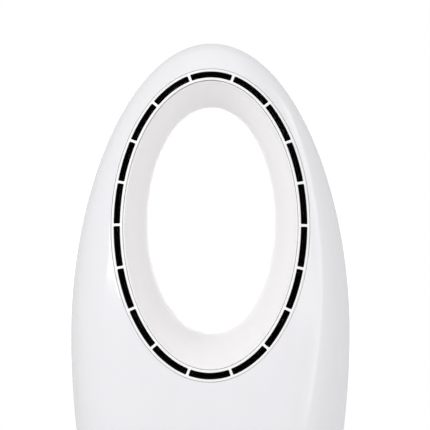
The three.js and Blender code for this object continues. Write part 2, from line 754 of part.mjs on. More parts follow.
// ---- Base -------------------------------------------------------------------------------------------
const plateTopZ = plateZ + plateThick;
const ballastZ = plateTopZ + gap;
const ballastTopZ = ballastZ + ballastThick;
const baseScrewPlaces = onCircle(baseScrewCircle, baseScrewAngles);
const baseScrewHeadZ = plateZ + gap;
const baseScrewHeadHeight = screwHeadHeight / 2; // a flatter head than the other screws have

function baseShell() {
  const rim = plateZ + gap;
  const shoulder = (inset) => {
    const rise = baseTopZ - baseSideZ - inset;
    const place = ({ x, y }) => [baseRadius - inset - baseShoulder * (1 - x), baseSideZ + rise * y];
    return arcPoints(0, 0, 1, 0, 90, 3).map(place);
  };
  const inner = shoulder(baseWall).reverse();
  const body = turned([
    [baseRadius, rim],
    ...shoulder(0),
    [openingRadius, baseCrownZ],
    [openingRadius, baseCrownZ - baseWall],
    ...inner,
    [baseRadius - baseWall, rim],
  ], baseRoundSteps);
  const bossTopZ = baseTopZ - baseWall / 2;
  const bosses = baseScrewPlaces.map(([x, y]) => barZ(x, y, shellSpigotRadius, ballastZ, bossTopZ, 8));
  const pilots = baseScrewPlaces.map(([x, y]) => barZ(x, y, pilotRadius, 0, baseSideZ + gap, 8));
  const window = box(
    -inletHalfWidth - gap, inletHalfWidth + gap, baseRadius - 3 * baseWall, far,
    inletZ - inletHalfHeight - gap, inletZ + inletHalfHeight + gap,
  );
  return cut(join(body, ...bosses), ...pilots, window);
}

const footPlaces = [[1, 1], [-1, 1], [-1, -1], [1, -1]].map(([x, y]) => [x * footCentre, y * footCentre]);

function basePlate() {
  const pockets = footPlaces.map(([x, y]) => barZ(x, y, footRadius + gap, 0, footHeight + gap, 12));
  const sinkTopZ = baseScrewHeadZ + baseScrewHeadHeight + gap;
  const sinks = baseScrewPlaces.map(([x, y]) => barZ(x, y, screwHeadRadius + 2 * gap, 0, sinkTopZ, 8));
  const holes = baseScrewPlaces.map(([x, y]) => barZ(x, y, screwHoleRadius, 0, far, 8));
  const plate = disc(baseRadius - baseWall - gap, plateZ, plateTopZ, baseRoundSteps);
  return cut(plate, ...pockets, ...sinks, ...holes);
}

function centrePost() {
  const shoulderZ = postShoulderZ - postShoulderThick;
  const post = turned([
    [postBore, ballastZ],
    [postFlangeRadius, ballastZ],
    [postFlangeRadius, ballastZ + postFlangeThick],
    [postRadius, ballastZ + postFlangeThick],
    [postRadius, shoulderZ],
    [postShoulderRadius, shoulderZ],
    [postShoulderRadius, postShoulderZ],
    [postRadius, postShoulderZ],
    [postRadius, postTopZ],
    [postBore, postTopZ],
  ], 20);
  const margin = leadRadius + gap;
  const notch = box(-margin, margin, 0, postRadius + 1, leadZ - margin, leadZ + margin);
  return cut(post, notch);
}

// ---- Power inlet ------------------------------------------------------------------------------------
const inletBackY = inletFaceY - inletDepth;

function powerInlet() {
  const block = (margin, y0, y1) => {
    const outline = roundedBox(0, inletZ, inletHalfWidth - margin, inletHalfHeight - margin, inletCorner, 2);
    return prismY(outline, y0, y1);
  };
  const x = socketPitch / 2;
  const lobes = [-x, x].map((at) => barY(at, inletZ, socketRadius, inletFaceY - socketDepth, far));
  const waist = box(-x, x, inletFaceY - socketDepth, far, inletZ - socketWaist / 2, inletZ + socketWaist / 2);
  const pinHoles = [-x, x].map((at) => barY(at, inletZ, inletPinRadius + gap, 0, far, 8));
  const flange = block(0, inletFaceY - inletFlange, inletFaceY);
  const body = block(inletBodyMargin, inletBackY, inletFaceY - inletFlange / 2);
  return cut(join(flange, body), ...lobes, waist, ...pinHoles);
}

function inletPin() {
  return barY(0, 0, inletPinRadius, inletBackY - inletPinTail, inletFaceY - socketDepth + inletPinLength, 8);
}

const leadZ = ballastTopZ + leadRadius + gap;

// The inner lead, from the inlet along the top of the ballast, into the hollow post and up.
function supplyLead() {
  const route = new THREE.CurvePath();
  const points = [
    new THREE.Vector3(0, inletBackY - gap, leadZ),
    new THREE.Vector3(0, leadBend, leadZ),
    new THREE.Vector3(0, 0, leadZ + leadBend),
    new THREE.Vector3(0, 0, powerBoard.z - terminalHeight - gap),
  ];
  route.add(new THREE.LineCurve3(points[0], points[1]));
  route.add(new THREE.QuadraticBezierCurve3(points[1], new THREE.Vector3(0, 0, leadZ), points[2]));
  route.add(new THREE.LineCurve3(points[2], points[3]));
  const section = new THREE.Shape(arcPoints(0, 0, leadRadius, 0, 315, 7));
  return solidOf(new THREE.ExtrudeGeometry(section, { steps: 18, extrudePath: route, bevelEnabled: false }));
}

// ---- Turntable, floor and swing drive ---------------------------------------------------------------
const washerZ = postShoulderZ + gap;
const turntableZ = washerZ + washerThick + gap;
const turntableTopZ = turntableZ + turntableThick;
const sectorPitchRadius = (gearModule * sectorTeethInCircle) / 2;
const pinionPitchRadius = (gearModule * pinionTeeth) / 2;
const pinionY = -(sectorPitchRadius + pinionPitchRadius);
const gearZ = ballastTopZ + gap;
const floorTopZ = floorZ + floorThick;
const floorScrewPlaces = onCircle(floorScrewCircle, floorScrewAngles);

function turntable() {
  const body = turned([
    [postRadius + gap, turntableZ],
    [turntableRadius, turntableZ],
    [turntableRadius, turntableTopZ],
    [neckOuter, turntableTopZ],
    [neckOuter, floorZ - gap],
    [neckInner, floorZ - gap],
    [neckInner, turntableTopZ],
    [hubRadius, turntableTopZ],
    [hubRadius, turntableZ + hubHeight],
    [postRadius + gap, turntableZ + hubHeight],
  ], baseRoundSteps);
  const bossTopZ = floorZ - gap;
  const bosses = floorScrewPlaces.map(([x, y]) => barZ(x, y, floorBossRadius, turntableZ + gap, bossTopZ, 8));
  const pilots = floorScrewPlaces.map(([x, y]) => barZ(x, y, pilotRadius, 0, far, 8));
  return cut(join(body, ...bosses), ...pilots, barZ(0, pinionY, stepperBossRadius + 4 * gap, 0, far));
}

function bodyFloor() {
  const plate = fittedForm.intersect(slab(floorZ, floorTopZ));
  const inset = 2 * boardPostRadius;
  const { x0, x1, y0, y1, z } = powerBoard;
  const corners = [x0 + inset, x1 - inset].flatMap((x) => [[x, y0 + inset], [x, y1 - inset]]);
  const posts = corners.map(([x, y]) => barZ(x, y, boardPostRadius, floorTopZ - gap, z - gap, 8));
  const holes = floorScrewPlaces.map(([x, y]) => barZ(x, y, screwHoleRadius, 0, far, 8));
  const shaftHole = barZ(0, pinionY, stepperBossRadius + gap, 0, far);
  return cut(join(plate, ...posts), ...holes, shaftHole, disc(floorHoleRadius, 0, far, 20));
}

function powerBoardSolid() {
  const { x0, x1, y0, y1, z } = powerBoard;
  const middleZ = z + boardThick / 2;
  const plate = box(x0, x1, y0, y1, z, z + boardThick);
  const t = transformerBlock;
  const transformer = box(t.x - t.half, t.x + t.half, t.y - t.half, t.y + t.half, middleZ, z + t.height);
  const c = capacitorCan;
  const capacitor = barZ(c.x, c.y, c.radius, middleZ, z + c.height, 12);
  const h = heatSinkPlate;
  const heatSink = box(h.x - h.halfLength, h.x + h.halfLength, h.y, h.y + h.thick, middleZ, z + h.height);
  const half = terminalSide / 2;
  const terminal = box(-half, half, -half, half, z - terminalHeight, middleZ);
  return join(plate, transformer, capacitor, heatSink, terminal);
}

// Half the angle that a tooth with involute flanks takes up at radius r.
function toothHalfAngle(r, teeth) {
  const involute = (angle) => Math.tan(angle) - angle;
  const pressure = radians(pressureAngle);
  const pitchRadius = (gearModule * teeth) / 2;
  const baseCircle = pitchRadius * Math.cos(pressure);
  const atPitch = Math.PI / (2 * teeth) - gearBacklash / (2 * pitchRadius);
  return atPitch + involute(pressure) - involute(Math.acos(baseCircle / Math.max(r, baseCircle)));
}

// The outline of a run of teeth, counter-clockwise, with the first tooth centred at startAngle.
function toothRun(teeth, startAngle, count) {
  const pitchRadius = (gearModule * teeth) / 2;
  const radii = toothHeights.map((share) => pitchRadius + share * gearModule);
  const points = [];
  for (let i = 0; i < count; i += 1) {
    const middle = startAngle + (2 * Math.PI * i) / teeth;
    const flank = (side) => radii.map((r) => {
      const angle = middle + side * toothHalfAngle(r, teeth);
      return new THREE.Vector2(r * Math.cos(angle), r * Math.sin(angle));
    });
    points.push(...flank(-1), ...flank(1).reverse());
  }
  return points;
}

// The sector's middle tooth points to the front, at the pinion.
function swingGear() {
  const toothAngle = 360 / sectorTeethInCircle;
  const half = ((sectorTeeth - 1) / 2) * toothAngle;
  const teeth = toothRun(sectorTeethInCircle, radians(270 - half), sectorTeeth);
  const inner = arcPoints(0, 0, sectorInner, 270 + half + toothAngle, 270 - half - toothAngle, 12);
  return prismZ([...teeth, ...inner], gearZ, gearZ + gearThick);
}

const shaftTopInStepper = floorTopZ + gap + shaftInStepper;

// The pinion has a tooth space facing the sector's middle tooth.
function pinion() {
  const z = gearZ + 2 * gap;
  const teeth = toothRun(pinionTeeth, Math.PI / 2 + Math.PI / pinionTeeth, pinionTeeth);
  return join(prismZ(teeth, z, z + gearThick), barZ(0, 0, pinionShaftRadius, z, shaftTopInStepper, 10));
}

function stepperMotor() {
  const z = floorTopZ + gap;
  const can = disc(stepperRadius, z, z + stepperHeight, 16);
  const ear = stepperEarRadius;
  const ears = prismZ(roundedBox(0, 0, stepperEarReach + ear, ear, ear, 3), z, z + stepperEarThick);
  const boss = disc(stepperBossRadius, turntableTopZ, z + stepperEarThick, 14);
  const bore = disc(pinionShaftRadius + gap, 0, shaftTopInStepper + gap, 10);
  return cut(join(can, ears, boss), bore);
}

// ---- Fan unit ---------------------------------------------------------------------------------------
const housingZ = deckZ + deckThick + gap + isolatorHeight + gap; // underside of the housing's flange
const isolatorPlaces = onCircle(isolatorCircle, isolatorAngles);
const housingInside = housingRadius - housingWall;

function fanDeck() {
  return cut(fittedForm.intersect(slab(deckZ, deckZ + deckThick)), disc(deckHole, 0, far, 24));
}

function isolator() {
  const z = deckZ + deckThick + gap;
  const neckZ = z + isolatorHeight;
  const capZ = housingZ + housingWall + gap;
  return turned([
    [0, z],
    [isolatorRadius, z],
    [isolatorRadius, neckZ],
    [isolatorNeck, neckZ],
    [isolatorNeck, capZ],
    [isolatorCapRadius, capZ],
    [isolatorNeck, capZ + isolatorCapHeight],
    [0, capZ + isolatorCapHeight],
  ], 10);
}

// Shroud line: from the eye out to the straight part of the housing. The blades follow it with a clearance.
const shroudLine = shroudCorners.map(([share, rise]) =>
  [eyeRadius + (housingInside - eyeRadius) * share, impellerZ + impellerHeight * rise]);

function fanHousing() {
  const outside = shroudLine.slice(1).reverse().map(([r, z]) => [r + housingWall, z - housingWall / 3]);
  const flangeTop = housingZ + housingWall;
  const body = turned([
    [eyeRadius, housingZ],
    ...shroudLine,
    [housingInside, housingTopZ],
    [housingRadius, housingTopZ],
    ...outside,
    [eyeRadius + housingWall * 1.4, flangeTop],
    [housingFlange, flangeTop],
    [housingFlange, housingZ],
  ], 24);
  const ears = isolatorPlaces.map(([x, y]) => barZ(x, y, earRadius, housingZ, flangeTop, 10));
  const holes = isolatorPlaces.map(([x, y]) => barZ(x, y, isolatorNeck + gap, 0, far, 10));
  return cut(join(body, ...ears), ...holes);
}

// One blade seen from above: a curved strip from the hub out to the rim.
function bladeOutline(turn) {
  const steps = 3;
  const tipRadius = housingRadius; // drawn past the rim; the swept form below cuts it back
  const side = (offset) => Array.from({ length: steps + 1 }, (_, i) => {
    const r = bladeRoot + ((tipRadius - bladeRoot) * i) / steps;
    const angle = turn - radians((bladeSweep * i) / steps);
    return new THREE.Vector2(r, offset).rotateAround(new THREE.Vector2(), angle);
  });
  return [...side(-bladeThick / 2), ...side(bladeThick / 2).reverse()];
}

// A hollow cone-shaped hub with the blades standing on it; the blades end a clearance off the shroud.
function impeller() {
  const top = impellerZ + impellerHeight;
  const bore = shaftRadius + gap;
  const [slopeRadius, slopeZ] = [impellerHubRadius * 0.78, impellerZ + impellerHeight * 0.64];
  const hub = turned([
    [bore, impellerZ],
    [hubNoseRadius, impellerZ],
    [hubNoseRadius * 2, impellerZ + impellerHeight * 0.2],
    [slopeRadius, slopeZ],
    [impellerHubRadius, top - hubWall * 0.7],
    [impellerHubRadius, top],
    [impellerHubRadius - hubWall, top],
    [slopeRadius - 4 * hubWall, slopeZ - hubWall],
    [hubCoreRadius, impellerZ + impellerHeight * 0.35],
    [hubCoreRadius, top - hubCoreDrop],
    [bore, top - hubCoreDrop],
  ], 20);
  const hubInside = hubNoseRadius * 0.9; // the blades are rooted inside the hub's wall
  const swept = turned([
    [hubInside, impellerZ + gap],
    ...shroudLine.map(([r, z]) => [r - bladeClearance * 1.3, z + bladeClearance * 0.8]),
    [impellerRadius, top - bladeClearance],
    [impellerHubRadius - hubWall / 2, top - bladeClearance],
    [hubNoseRadius * 2.2, impellerZ + impellerHeight * 0.35],
    [hubInside, impellerZ + hubWall],
  ], 20);
  const blades = Array.from({ length: bladeCount }, (_, i) =>
    prismZ(bladeOutline((2 * Math.PI * i) / bladeCount), impellerZ - hubWall, top).intersect(swept));
  return cut(join(hub, ...blades), disc(bore, 0, far, 12));
}

const motorTopZ = motorZ + motorHeight;
const bearingSeat = bearingRadius + gap;
const coreZ = motorZ + bearingHeight + coreLift;

function motorCan() {
  return turned([
    [bearingSeat, motorZ],
    [motorRadius, motorZ],
    [motorRadius, motorTopZ],
    [motorRadius - motorWall, motorTopZ],
    [motorRadius - motorWall, motorZ + motorWall],
    [bearingSeat, motorZ + motorWall],
  ], 24);
}

// The stator ring with its wound poles reaching in towards the rotor.
function statorCore() {
  const outer = motorRadius - motorWall - gap;
  const inner = rotorRadius + airGap;
  const poleEnd = outer - statorYoke * 0.75;
  const ring = ringDisc(outer - statorYoke, outer, coreZ, coreZ + statorHeight, 24);
  const pole = box(inner, poleEnd, -poleWidth / 2, poleWidth / 2, coreZ, coreZ + statorHeight);
  const poles = Array.from({ length: statorPoles }, (_, i) => pole.rotate([0, 0, (360 * i) / statorPoles]));
  return join(ring, ...poles);
}

function diffuser() {
  const inner = motorRadius + gap;
  const outer = inner + diffuserWall;
  const tip = housingInside - gap;
  const ring = ringDisc(inner, outer, motorZ, motorTopZ, 24);
  const half = vaneHeight / 2;
  const upright = box(inner + vaneRoot, tip, -vaneThick / 2, vaneThick / 2, -half, half);
  const vane = upright.rotate([vaneLean, 0, 0]).translate([0, 0, (motorZ + motorTopZ) / 2]);
  const vanes = Array.from({ length: vaneCount }, (_, i) => vane.rotate([0, 0, (360 * i) / vaneCount]));
  const reach = disc(tip, motorZ, motorTopZ, 24);
  return cut(join(ring, ...vanes).intersect(reach), disc(inner, 0, far, 24));
}

function motorCap() {
  const z = motorTopZ + gap;
  const outer = motorRadius + gap + diffuserWall;
  const dome = (radius, top) => [
    [0, z + top],
    [radius * 0.39, z + top - capHeight * 0.05],
    [radius * 0.78, z + top - capHeight * 0.3],
  ];
  const seatOuter = bearingSeat + capWall;
  return turned([
    ...dome(outer, capHeight),
    [outer, z + capHeight * 0.2],
    [outer, z],
    [seatOuter, z],
    [seatOuter, z - bearingHeight],
    [bearingSeat, z - bearingHeight],
    [bearingSeat, z + capWall],
    [outer - capWall, z + capWall],
    ...dome(outer - capWall, capHeight - capWall).reverse(),
  ], 20);
}

// ---- Screws and nuts --------------------------------------------------------------------------------
const hexNut = (bore, radius, z, height) => cut(disc(radius, z, z + height, 6), disc(bore, 0, far, 20));

// A pan-head screw with its tip at z 0 pointing down.
function screw(length, headHeight = screwHeadHeight) {
  return turned([
    [0, 0],
    [screwShankRadius, 1.5 * screwShankRadius],
    [screwShankRadius, length],
    [screwHeadRadius, length],
    [screwHeadRadius, length + headHeight / 2],
    [screwHeadRadius * 0.6, length + headHeight], // flat middle of the pan head
    [0, length + headHeight],
  ], 6);
}

// ---- Assembly ---------------------------------------------------------------------------------------
const fan = new THREE.Group();
const base = new THREE.Group();
const body = new THREE.Group();
const fanUnit = new THREE.Group();
fan.add(base, body);
body.add(fanUnit);

function add(group, name, material, solid, x = 0, y = 0, z = 0) {
  const mesh = new THREE.Mesh(geometryOf(solid), material);
  mesh.name = name;
  mesh.position.set(x, y, z);
  group.add(mesh);
  return mesh;
}

// Base, which stands still
add(base, "base_shell", glossWhite, baseShell());
add(base, "base_plate", greyPlastic, basePlate());
add(base, "ballast_plate", darkSteel, ringDisc(ballastInner, ballastOuter, ballastZ, ballastTopZ, 28));
footPlaces.forEach(([x, y], i) => {
  add(base, `foot_${i + 1}`, rubber, disc(footRadius, 0, footHeight, 12), x, y);
});
baseScrewPlaces.forEach(([x, y], i) => {
  const length = baseSideZ - baseScrewHeadZ - baseScrewHeadHeight;
  const mesh = add(base, `base_screw_${i + 1}`, zinc, screw(length, baseScrewHeadHeight), x, y, baseSideZ);
  mesh.rotation.x = Math.PI;
});
add(base, "centre_post", greyPlastic, centrePost());
const washer = ringDisc(postRadius + gap, postShoulderRadius, washerZ, washerZ + washerThick);
add(base, "thrust_washer", acetal, washer);
const nutZ = turntableZ + hubHeight + gap;
add(base, "post_nut", steel, hexNut(postRadius + gap, nutRadius, nutZ, nutHeight));
add(base, "swing_gear", acetal, swingGear());
add(base, "power_inlet", blackPlastic, powerInlet());
add(base, "inlet_pin_left", brass, inletPin(), -socketPitch / 2, 0, inletZ);
add(base, "inlet_pin_right", brass, inletPin(), socketPitch / 2, 0, inletZ);
add(base, "supply_lead", darkPlastic, supplyLead());

// Body, which swings
add(body, "turntable", darkPlastic, turntable());
add(body, "body_floor", greyPlastic, bodyFloor());
floorScrewPlaces.forEach(([x, y], i) => {
  const length = floorTopZ + gap - turntableTopZ;
  add(body, `floor_screw_${i + 1}`, zinc, screw(length), x, y, turntableTopZ);
});
add(body, "front_shell", glossWhite, frontShell());
add(body, "rear_shell", glossWhite, rearShell());
add(body, "outlet_ring", satinWhite, outletRing());
add(body, "nozzle_liner", blackPlastic, nozzleLiner());
add(body, "duct_sleeve", sleeveWhite, ductSleeve());
add(body, "control_panel", glossWhite, controlPanel());
add(body, "display_lens", lensPlastic, displayLens());
add(body, "control_board", boardGreen, controlBoard());
buttonNames.forEach((name, i) => {
  const x = buttonX[i];
  add(body, name, satinWhite, button(x), x, -skinDepth(x, buttonZ), buttonZ);
});
add(body, "intake_grille", glossWhite, intakeGrille());
add(body, "intake_filter", filterMesh, intakeFilter());
const shellScrewTipY = shellScrewSeatY + gap - shellScrewLength;
shellScrews.forEach(([x, z], i) => {
  const mesh = add(body, `shell_screw_${i + 1}`, zinc, screw(shellScrewLength), x, shellScrewTipY, z);
  mesh.rotation.x = -Math.PI / 2;
});
add(body, "power_board", boardGreen, powerBoardSolid());
add(body, "stepper_motor", zinc, stepperMotor(), 0, pinionY);
add(body, "swing_pinion", acetal, pinion(), 0, pinionY);

// Fan unit, hung on rubber in the body
add(fanUnit, "fan_deck", greyPlastic, fanDeck());
isolatorPlaces.forEach(([x, y], i) => add(fanUnit, `isolator_${i + 1}`, rubber, isolator(), x, y));
add(fanUnit, "fan_housing", greyPlastic, fanHousing());
add(fanUnit, "diffuser", greyPlastic, diffuser());
add(fanUnit, "motor_can", steel, motorCan());
add(fanUnit, "stator_core", brass, statorCore());
const bearing = ringDisc(shaftRadius + gap, bearingRadius, 0, bearingHeight, 20);
add(fanUnit, "bearing_lower", steel, bearing, 0, 0, motorZ);
add(fanUnit, "bearing_upper", steel, bearing, 0, 0, motorTopZ + gap - bearingHeight);
add(fanUnit, "motor_cap", greyPlastic, motorCap());
add(fanUnit, "impeller", impellerGrey, impeller());
const magnet = ringDisc(shaftRadius + gap, rotorRadius, coreZ, coreZ + statorHeight, 24);
add(fanUnit, "rotor_magnet", darkSteel, magnet);
add(fanUnit, "motor_shaft", steel, disc(shaftRadius, shaftBottomZ, shaftTopZ, 12));
const shaftNutZ = impellerZ - gap - shaftNutHeight;
add(fanUnit, "impeller_nut", steel, hexNut(shaftRadius + gap, shaftNutRadius, shaftNutZ, shaftNutHeight));

export default fan;
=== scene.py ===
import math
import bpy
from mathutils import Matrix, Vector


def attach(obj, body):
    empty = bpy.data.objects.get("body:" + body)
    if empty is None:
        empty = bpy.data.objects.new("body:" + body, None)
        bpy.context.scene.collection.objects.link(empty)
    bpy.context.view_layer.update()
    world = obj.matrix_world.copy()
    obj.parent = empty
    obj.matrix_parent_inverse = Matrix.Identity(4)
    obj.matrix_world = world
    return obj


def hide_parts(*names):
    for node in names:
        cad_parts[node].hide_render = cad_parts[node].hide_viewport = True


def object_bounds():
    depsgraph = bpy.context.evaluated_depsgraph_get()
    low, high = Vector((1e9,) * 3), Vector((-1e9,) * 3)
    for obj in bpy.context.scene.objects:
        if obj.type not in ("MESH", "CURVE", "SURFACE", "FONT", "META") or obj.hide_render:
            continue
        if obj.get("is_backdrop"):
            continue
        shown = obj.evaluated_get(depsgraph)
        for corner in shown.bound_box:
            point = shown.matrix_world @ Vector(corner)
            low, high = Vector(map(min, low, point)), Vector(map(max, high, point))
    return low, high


bl_info = {
    "name": "Bladeless Fan Look",
    "version": (1, 0, 0),
    "blender": (4, 5, 0),
    "location": "3D Viewport > Sidebar > Fan",
    "description": "Builds the visible pieces and the finishes of an egg-shaped bladeless fan on its frame",
    "category": "Object",
}

import bmesh
import bpy
import numpy as np
from mathutils import Matrix, Quaternion, Vector, geometry

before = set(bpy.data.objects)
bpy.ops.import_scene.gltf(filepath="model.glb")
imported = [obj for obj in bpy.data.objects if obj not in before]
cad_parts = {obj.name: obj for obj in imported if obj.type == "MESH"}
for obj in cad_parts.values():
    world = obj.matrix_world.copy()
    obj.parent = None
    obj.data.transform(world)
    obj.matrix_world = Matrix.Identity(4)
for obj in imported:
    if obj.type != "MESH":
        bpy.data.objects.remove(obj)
CAD_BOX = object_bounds()
MM = 0.001

# Form of the fan, in metres, as in its frame, but with the throat, the slots and the sleeve's front fitted
# more finely than the frame's solids. A name that ends in HALF stands for half sizes in X and Z.
GAP = 0.3 * MM
WALL = 3.0 * MM
HALF_SEAM = GAP / 2
EGG_HALF_WIDTH = 150 * MM
EGG_WIDEST_Z = 285 * MM
CROWN_RISE = 308 * MM
CROWN_POWER = 1.9
CROWN_Z = EGG_WIDEST_Z + CROWN_RISE
SKIRT_SEMI_HEIGHT = 361 * MM
BELLY_HALF_DEPTH = 95 * MM
CROWN_HALF_DEPTH = 60 * MM
BELLY_Z = 150 * MM
FACE_POWER = 5
BODY_BOTTOM_Z = 34 * MM
RING_Z = 397 * MM
RING_SEMI_WIDTH = 98 * MM
RING_SEMI_HEIGHT = 158.5 * MM
RING_HALF_BAND = 6.1 * MM
RING_THICK = 3.6 * MM
SLOT_COUNT = 18
SLOT_WIDTH = 6.9 * MM
BRIDGE_WIDTH = 2.7 * MM
SLOT_DROP = 2.08 * MM
SLOT_STRETCH = 0.5 * MM
LINER_DEPTH = 14 * MM
LINER_EDGE = 0.2 * MM
LINER_NARROWING = 2.5 * MM
THROAT_Z = 403.8 * MM
THROAT_Y = 25 * MM
THROAT_SEMI_WIDTH = 67.1 * MM
THROAT_SEMI_HEIGHT = 121.2 * MM
SLEEVE_RECESS = 1.4 * MM
SLEEVE_CROWN_RECESS = 1.6 * MM
SLEEVE_LAND = 1.6 * MM
SLEEVE_LAND_FALL = 0.15 * MM
SLEEVE_ROUNDING = 1.1 * MM
SLEEVE_WALL = 3.3 * MM
LIP_REACH = 28 * MM
LIP_FULLNESS = 0.55
PANEL_Z = 95 * MM
PANEL_HALF = (66 * MM, 22 * MM)
LENS_Z = 104.5 * MM
LENS_HALF = (24 * MM, 7.5 * MM)
BUTTON_Z = 86 * MM
BUTTON_PITCH = 24 * MM
BUTTON_RADIUS = 5.7 * MM
BUTTON_PROUD = 0.9 * MM
BUTTON_EDGE = 0.45 * MM
BUTTON_BACK = 2.2 * MM
# Radius and height, over the panel's skin, of points on a button's dished face
BUTTON_DISH = [(0, 0.55 * MM), (2.4 * MM, 0.62 * MM), (4.3 * MM, 0.82 * MM), (5.0 * MM, BUTTON_PROUD)]
GRILLE_Z = 85 * MM
GRILLE_HALF = (75 * MM, 35 * MM)
GRILLE_CORNER = 20 * MM
GRILLE_SLOTS = 13
GRILLE_SLOT_WIDTH = 5.6 * MM
GRILLE_SLOT_HEIGHT = 56 * MM
GRILLE_SLOT_CORNER = 1.5 * MM
GRILLE_PITCH = 9.6 * MM
GRILLE_RIM = 3 * MM
SLAT_OVERLAP = 0.6 * MM
FILTER_Y = 71.5 * MM
FILTER_THICK = 3 * MM
FILTER_INSET = GRILLE_RIM + GAP
SCREW_SEAT_Y = 12 * MM
SCREW_HEAD_RADIUS = 3.8 * MM
SCREW_HEAD_HEIGHT = 2.4 * MM
SCREW_SHANK_RADIUS = 1.25 * MM
SCREW_TIP = (0.3 * MM, 2 * MM)
# Points of a screw head's side, as shares of its radius and height
SCREW_HEAD_FORM = [(1, 0), (1, 0.45), (0.86, 0.8), (0.55, 1), (0, 1)]
# Half length and half width of an arm of the cross in a screw's head
CROSS_ARM = (2.0 * MM, 0.42 * MM)
# How large the cross is at its foot and past its top, and how high these are as a share of the head's height
CROSS_ENDS = ((0.55, 0.35), (1.1, 1.5))
SCREW_WELL_RADIUS = SCREW_HEAD_RADIUS + 2 * GAP
SCREW_HOLE_RADIUS = 1.9 * MM
SCREW_BOSS_RADIUS = 6 * MM
SHELL_SCREW_LENGTH = 22 * MM
SHELL_SCREWS = [(side * x * MM, z * MM) for x, z in ((100, 62), (128, 228)) for side in (1, -1)]
BASE_SCREW_LENGTH = 11 * MM
BASE_SCREW_SEAT_Z = 3.5 * MM
BASE_SCREW_WELL_TOP = 3.8 * MM
BASE_SCREW_CIRCLE = 100 * MM
BASE_SCREWS = [(BASE_SCREW_CIRCLE * math.cos(a), BASE_SCREW_CIRCLE * math.sin(a))
               for a in map(math.radians, (30, 150, 270))]
BASE_RADIUS = 115 * MM
BASE_SIDE_Z = 15 * MM
BASE_SHOULDER = 11 * MM
BASE_TOP_Z = 27 * MM
BASE_CROWN_Z = 28.2 * MM
BASE_RIM_Z = 2.3 * MM
OPENING_RADIUS = 72 * MM
PLATE_RADIUS = BASE_RADIUS - WALL - GAP
PLATE_BOTTOM_Z = 2 * MM
PLATE_TOP_Z = 5 * MM
PLATE_EDGE = 0.5 * MM
FOOT_RADIUS = 9 * MM
FOOT_HEIGHT = 3 * MM
FOOT_DISH = (3.6 * MM, 0.3 * MM)
FOOT_SOLE = 4.0 * MM
FOOT_CENTRE = 65 * MM
# Corners of the turntable's section: radius, height and rounding
TURNTABLE = [(r * MM, z * MM, rounding * MM) for r, z, rounding in (
    (13.3, 23.9, 0), (71.4, 23.9, 0.4), (71.4, 26.9, 0.6), (69, 26.9, 0.6), (69, 34.7, 0.3),
    (65, 34.7, 0), (65, 26.9, 0), (20, 26.9, 0), (20, 33.7, 0.5), (13.3, 33.7, 0))]
PINION_WAY_RADIUS = 5.8 * MM
PINION_Y = -56.25 * MM
INLET_Z = 13 * MM
INLET_FACE_Y = 114.2 * MM
INLET_HALF = (12.5 * MM, 7.2 * MM)
INLET_CORNER = 2 * MM
INLET_FLANGE = 1.5 * MM
INLET_DEPTH = 18 * MM
SOCKET_PITCH = 8.6 * MM
SOCKET_RADIUS = 4.2 * MM
SOCKET_WAIST = 6.4 * MM
SOCKET_DEPTH = 13 * MM
PIN_PROUD = 8.8 * MM
# Radius of a pin and how far behind its tip it has that radius
PIN = [(0, 20 * MM), (1.2 * MM, 20 * MM), (1.2 * MM, 0.7 * MM), (0.95 * MM, 0.2 * MM), (0.5 * MM, 0), (0, 0)]

# Where cuts along Y start inside the fan, and a place well outside it
PANEL_CUT_Y = -30 * MM
GRILLE_CUT_Y = 50 * MM
INLET_CUT_Y = 106 * MM
OUTSIDE = 200 * MM

# How finely the meshes are cut
EDGE_STEPS = 4
PATH_POINTS = 1440
SHELL_STATIONS = 264
FRONT_STEPS, REAR_STEPS, INSIDE_STEPS = 34, 30, 12
LIP_STEPS, LIP_INSIDE_STEPS = 22, 10
SLEEVE_STATIONS, SLEEVE_STEPS = 240, 30
SLOT_STEPS = 14
HALVINGS = 50

FRONT, REAR = -1, 1
Y_AXIS, Z_AXIS = 1, 2
CORNERS = ((1, 1), (-1, 1), (-1, -1), (1, -1))


# ---- The egg form ----------------------------------------------------------------------------------
def height_share(z, inset=0.0):
    """Share of the outline's height used up at height z, squared: 0 at the widest level, 1 at the ends."""
    h = z - EGG_WIDEST_Z
    above = (np.abs(h) / (CROWN_RISE - inset)) ** CROWN_POWER
    below = (h / (SKIRT_SEMI_HEIGHT - inset)) ** 2
    return np.where(h > 0, above, below)


def half_depth(z, inset=0.0):
    """Half of the body's depth in its middle, which gets less from the belly to the crown."""
    t = np.clip((z - BELLY_Z) / (CROWN_Z - BELLY_Z), 0, 1)
    return CROWN_HALF_DEPTH + (BELLY_HALF_DEPTH - CROWN_HALF_DEPTH) * (1 + np.cos(np.pi * t)) / 2 - inset


def skin_depth(x, z, inset=0.0):
    """How far the skin, set in by inset, lies from the middle plane at (x, z)."""
    share = (x / (EGG_HALF_WIDTH - inset)) ** 2 + height_share(z, inset)
    return half_depth(z, inset) * np.sqrt(np.clip(1 - share ** (FACE_POWER / 2), 0, None))


def skin_at(points, inset=0.0):
    """The skin's depth at points in X and Z."""
    return skin_depth(points[:, 0], points[:, 1], inset)


def unit(vectors):
    return vectors / np.linalg.norm(vectors, axis=-1, keepdims=True)


def outline_share(points):
    """0 in the middle of the egg's outline, 1 on it and more beyond it."""
    return (points[:, 0] / EGG_HALF_WIDTH) ** 2 + height_share(points[:, 1])


def outline_normal(points):
    """Outward normal, in X and Z, of the egg's outline at points on it."""
    step = 0.01 * MM
    slopes = [outline_share(points + shift) - outline_share(points - shift)
              for shift in ((step, 0), (0, step))]
    return unit(np.stack(slopes, 1))


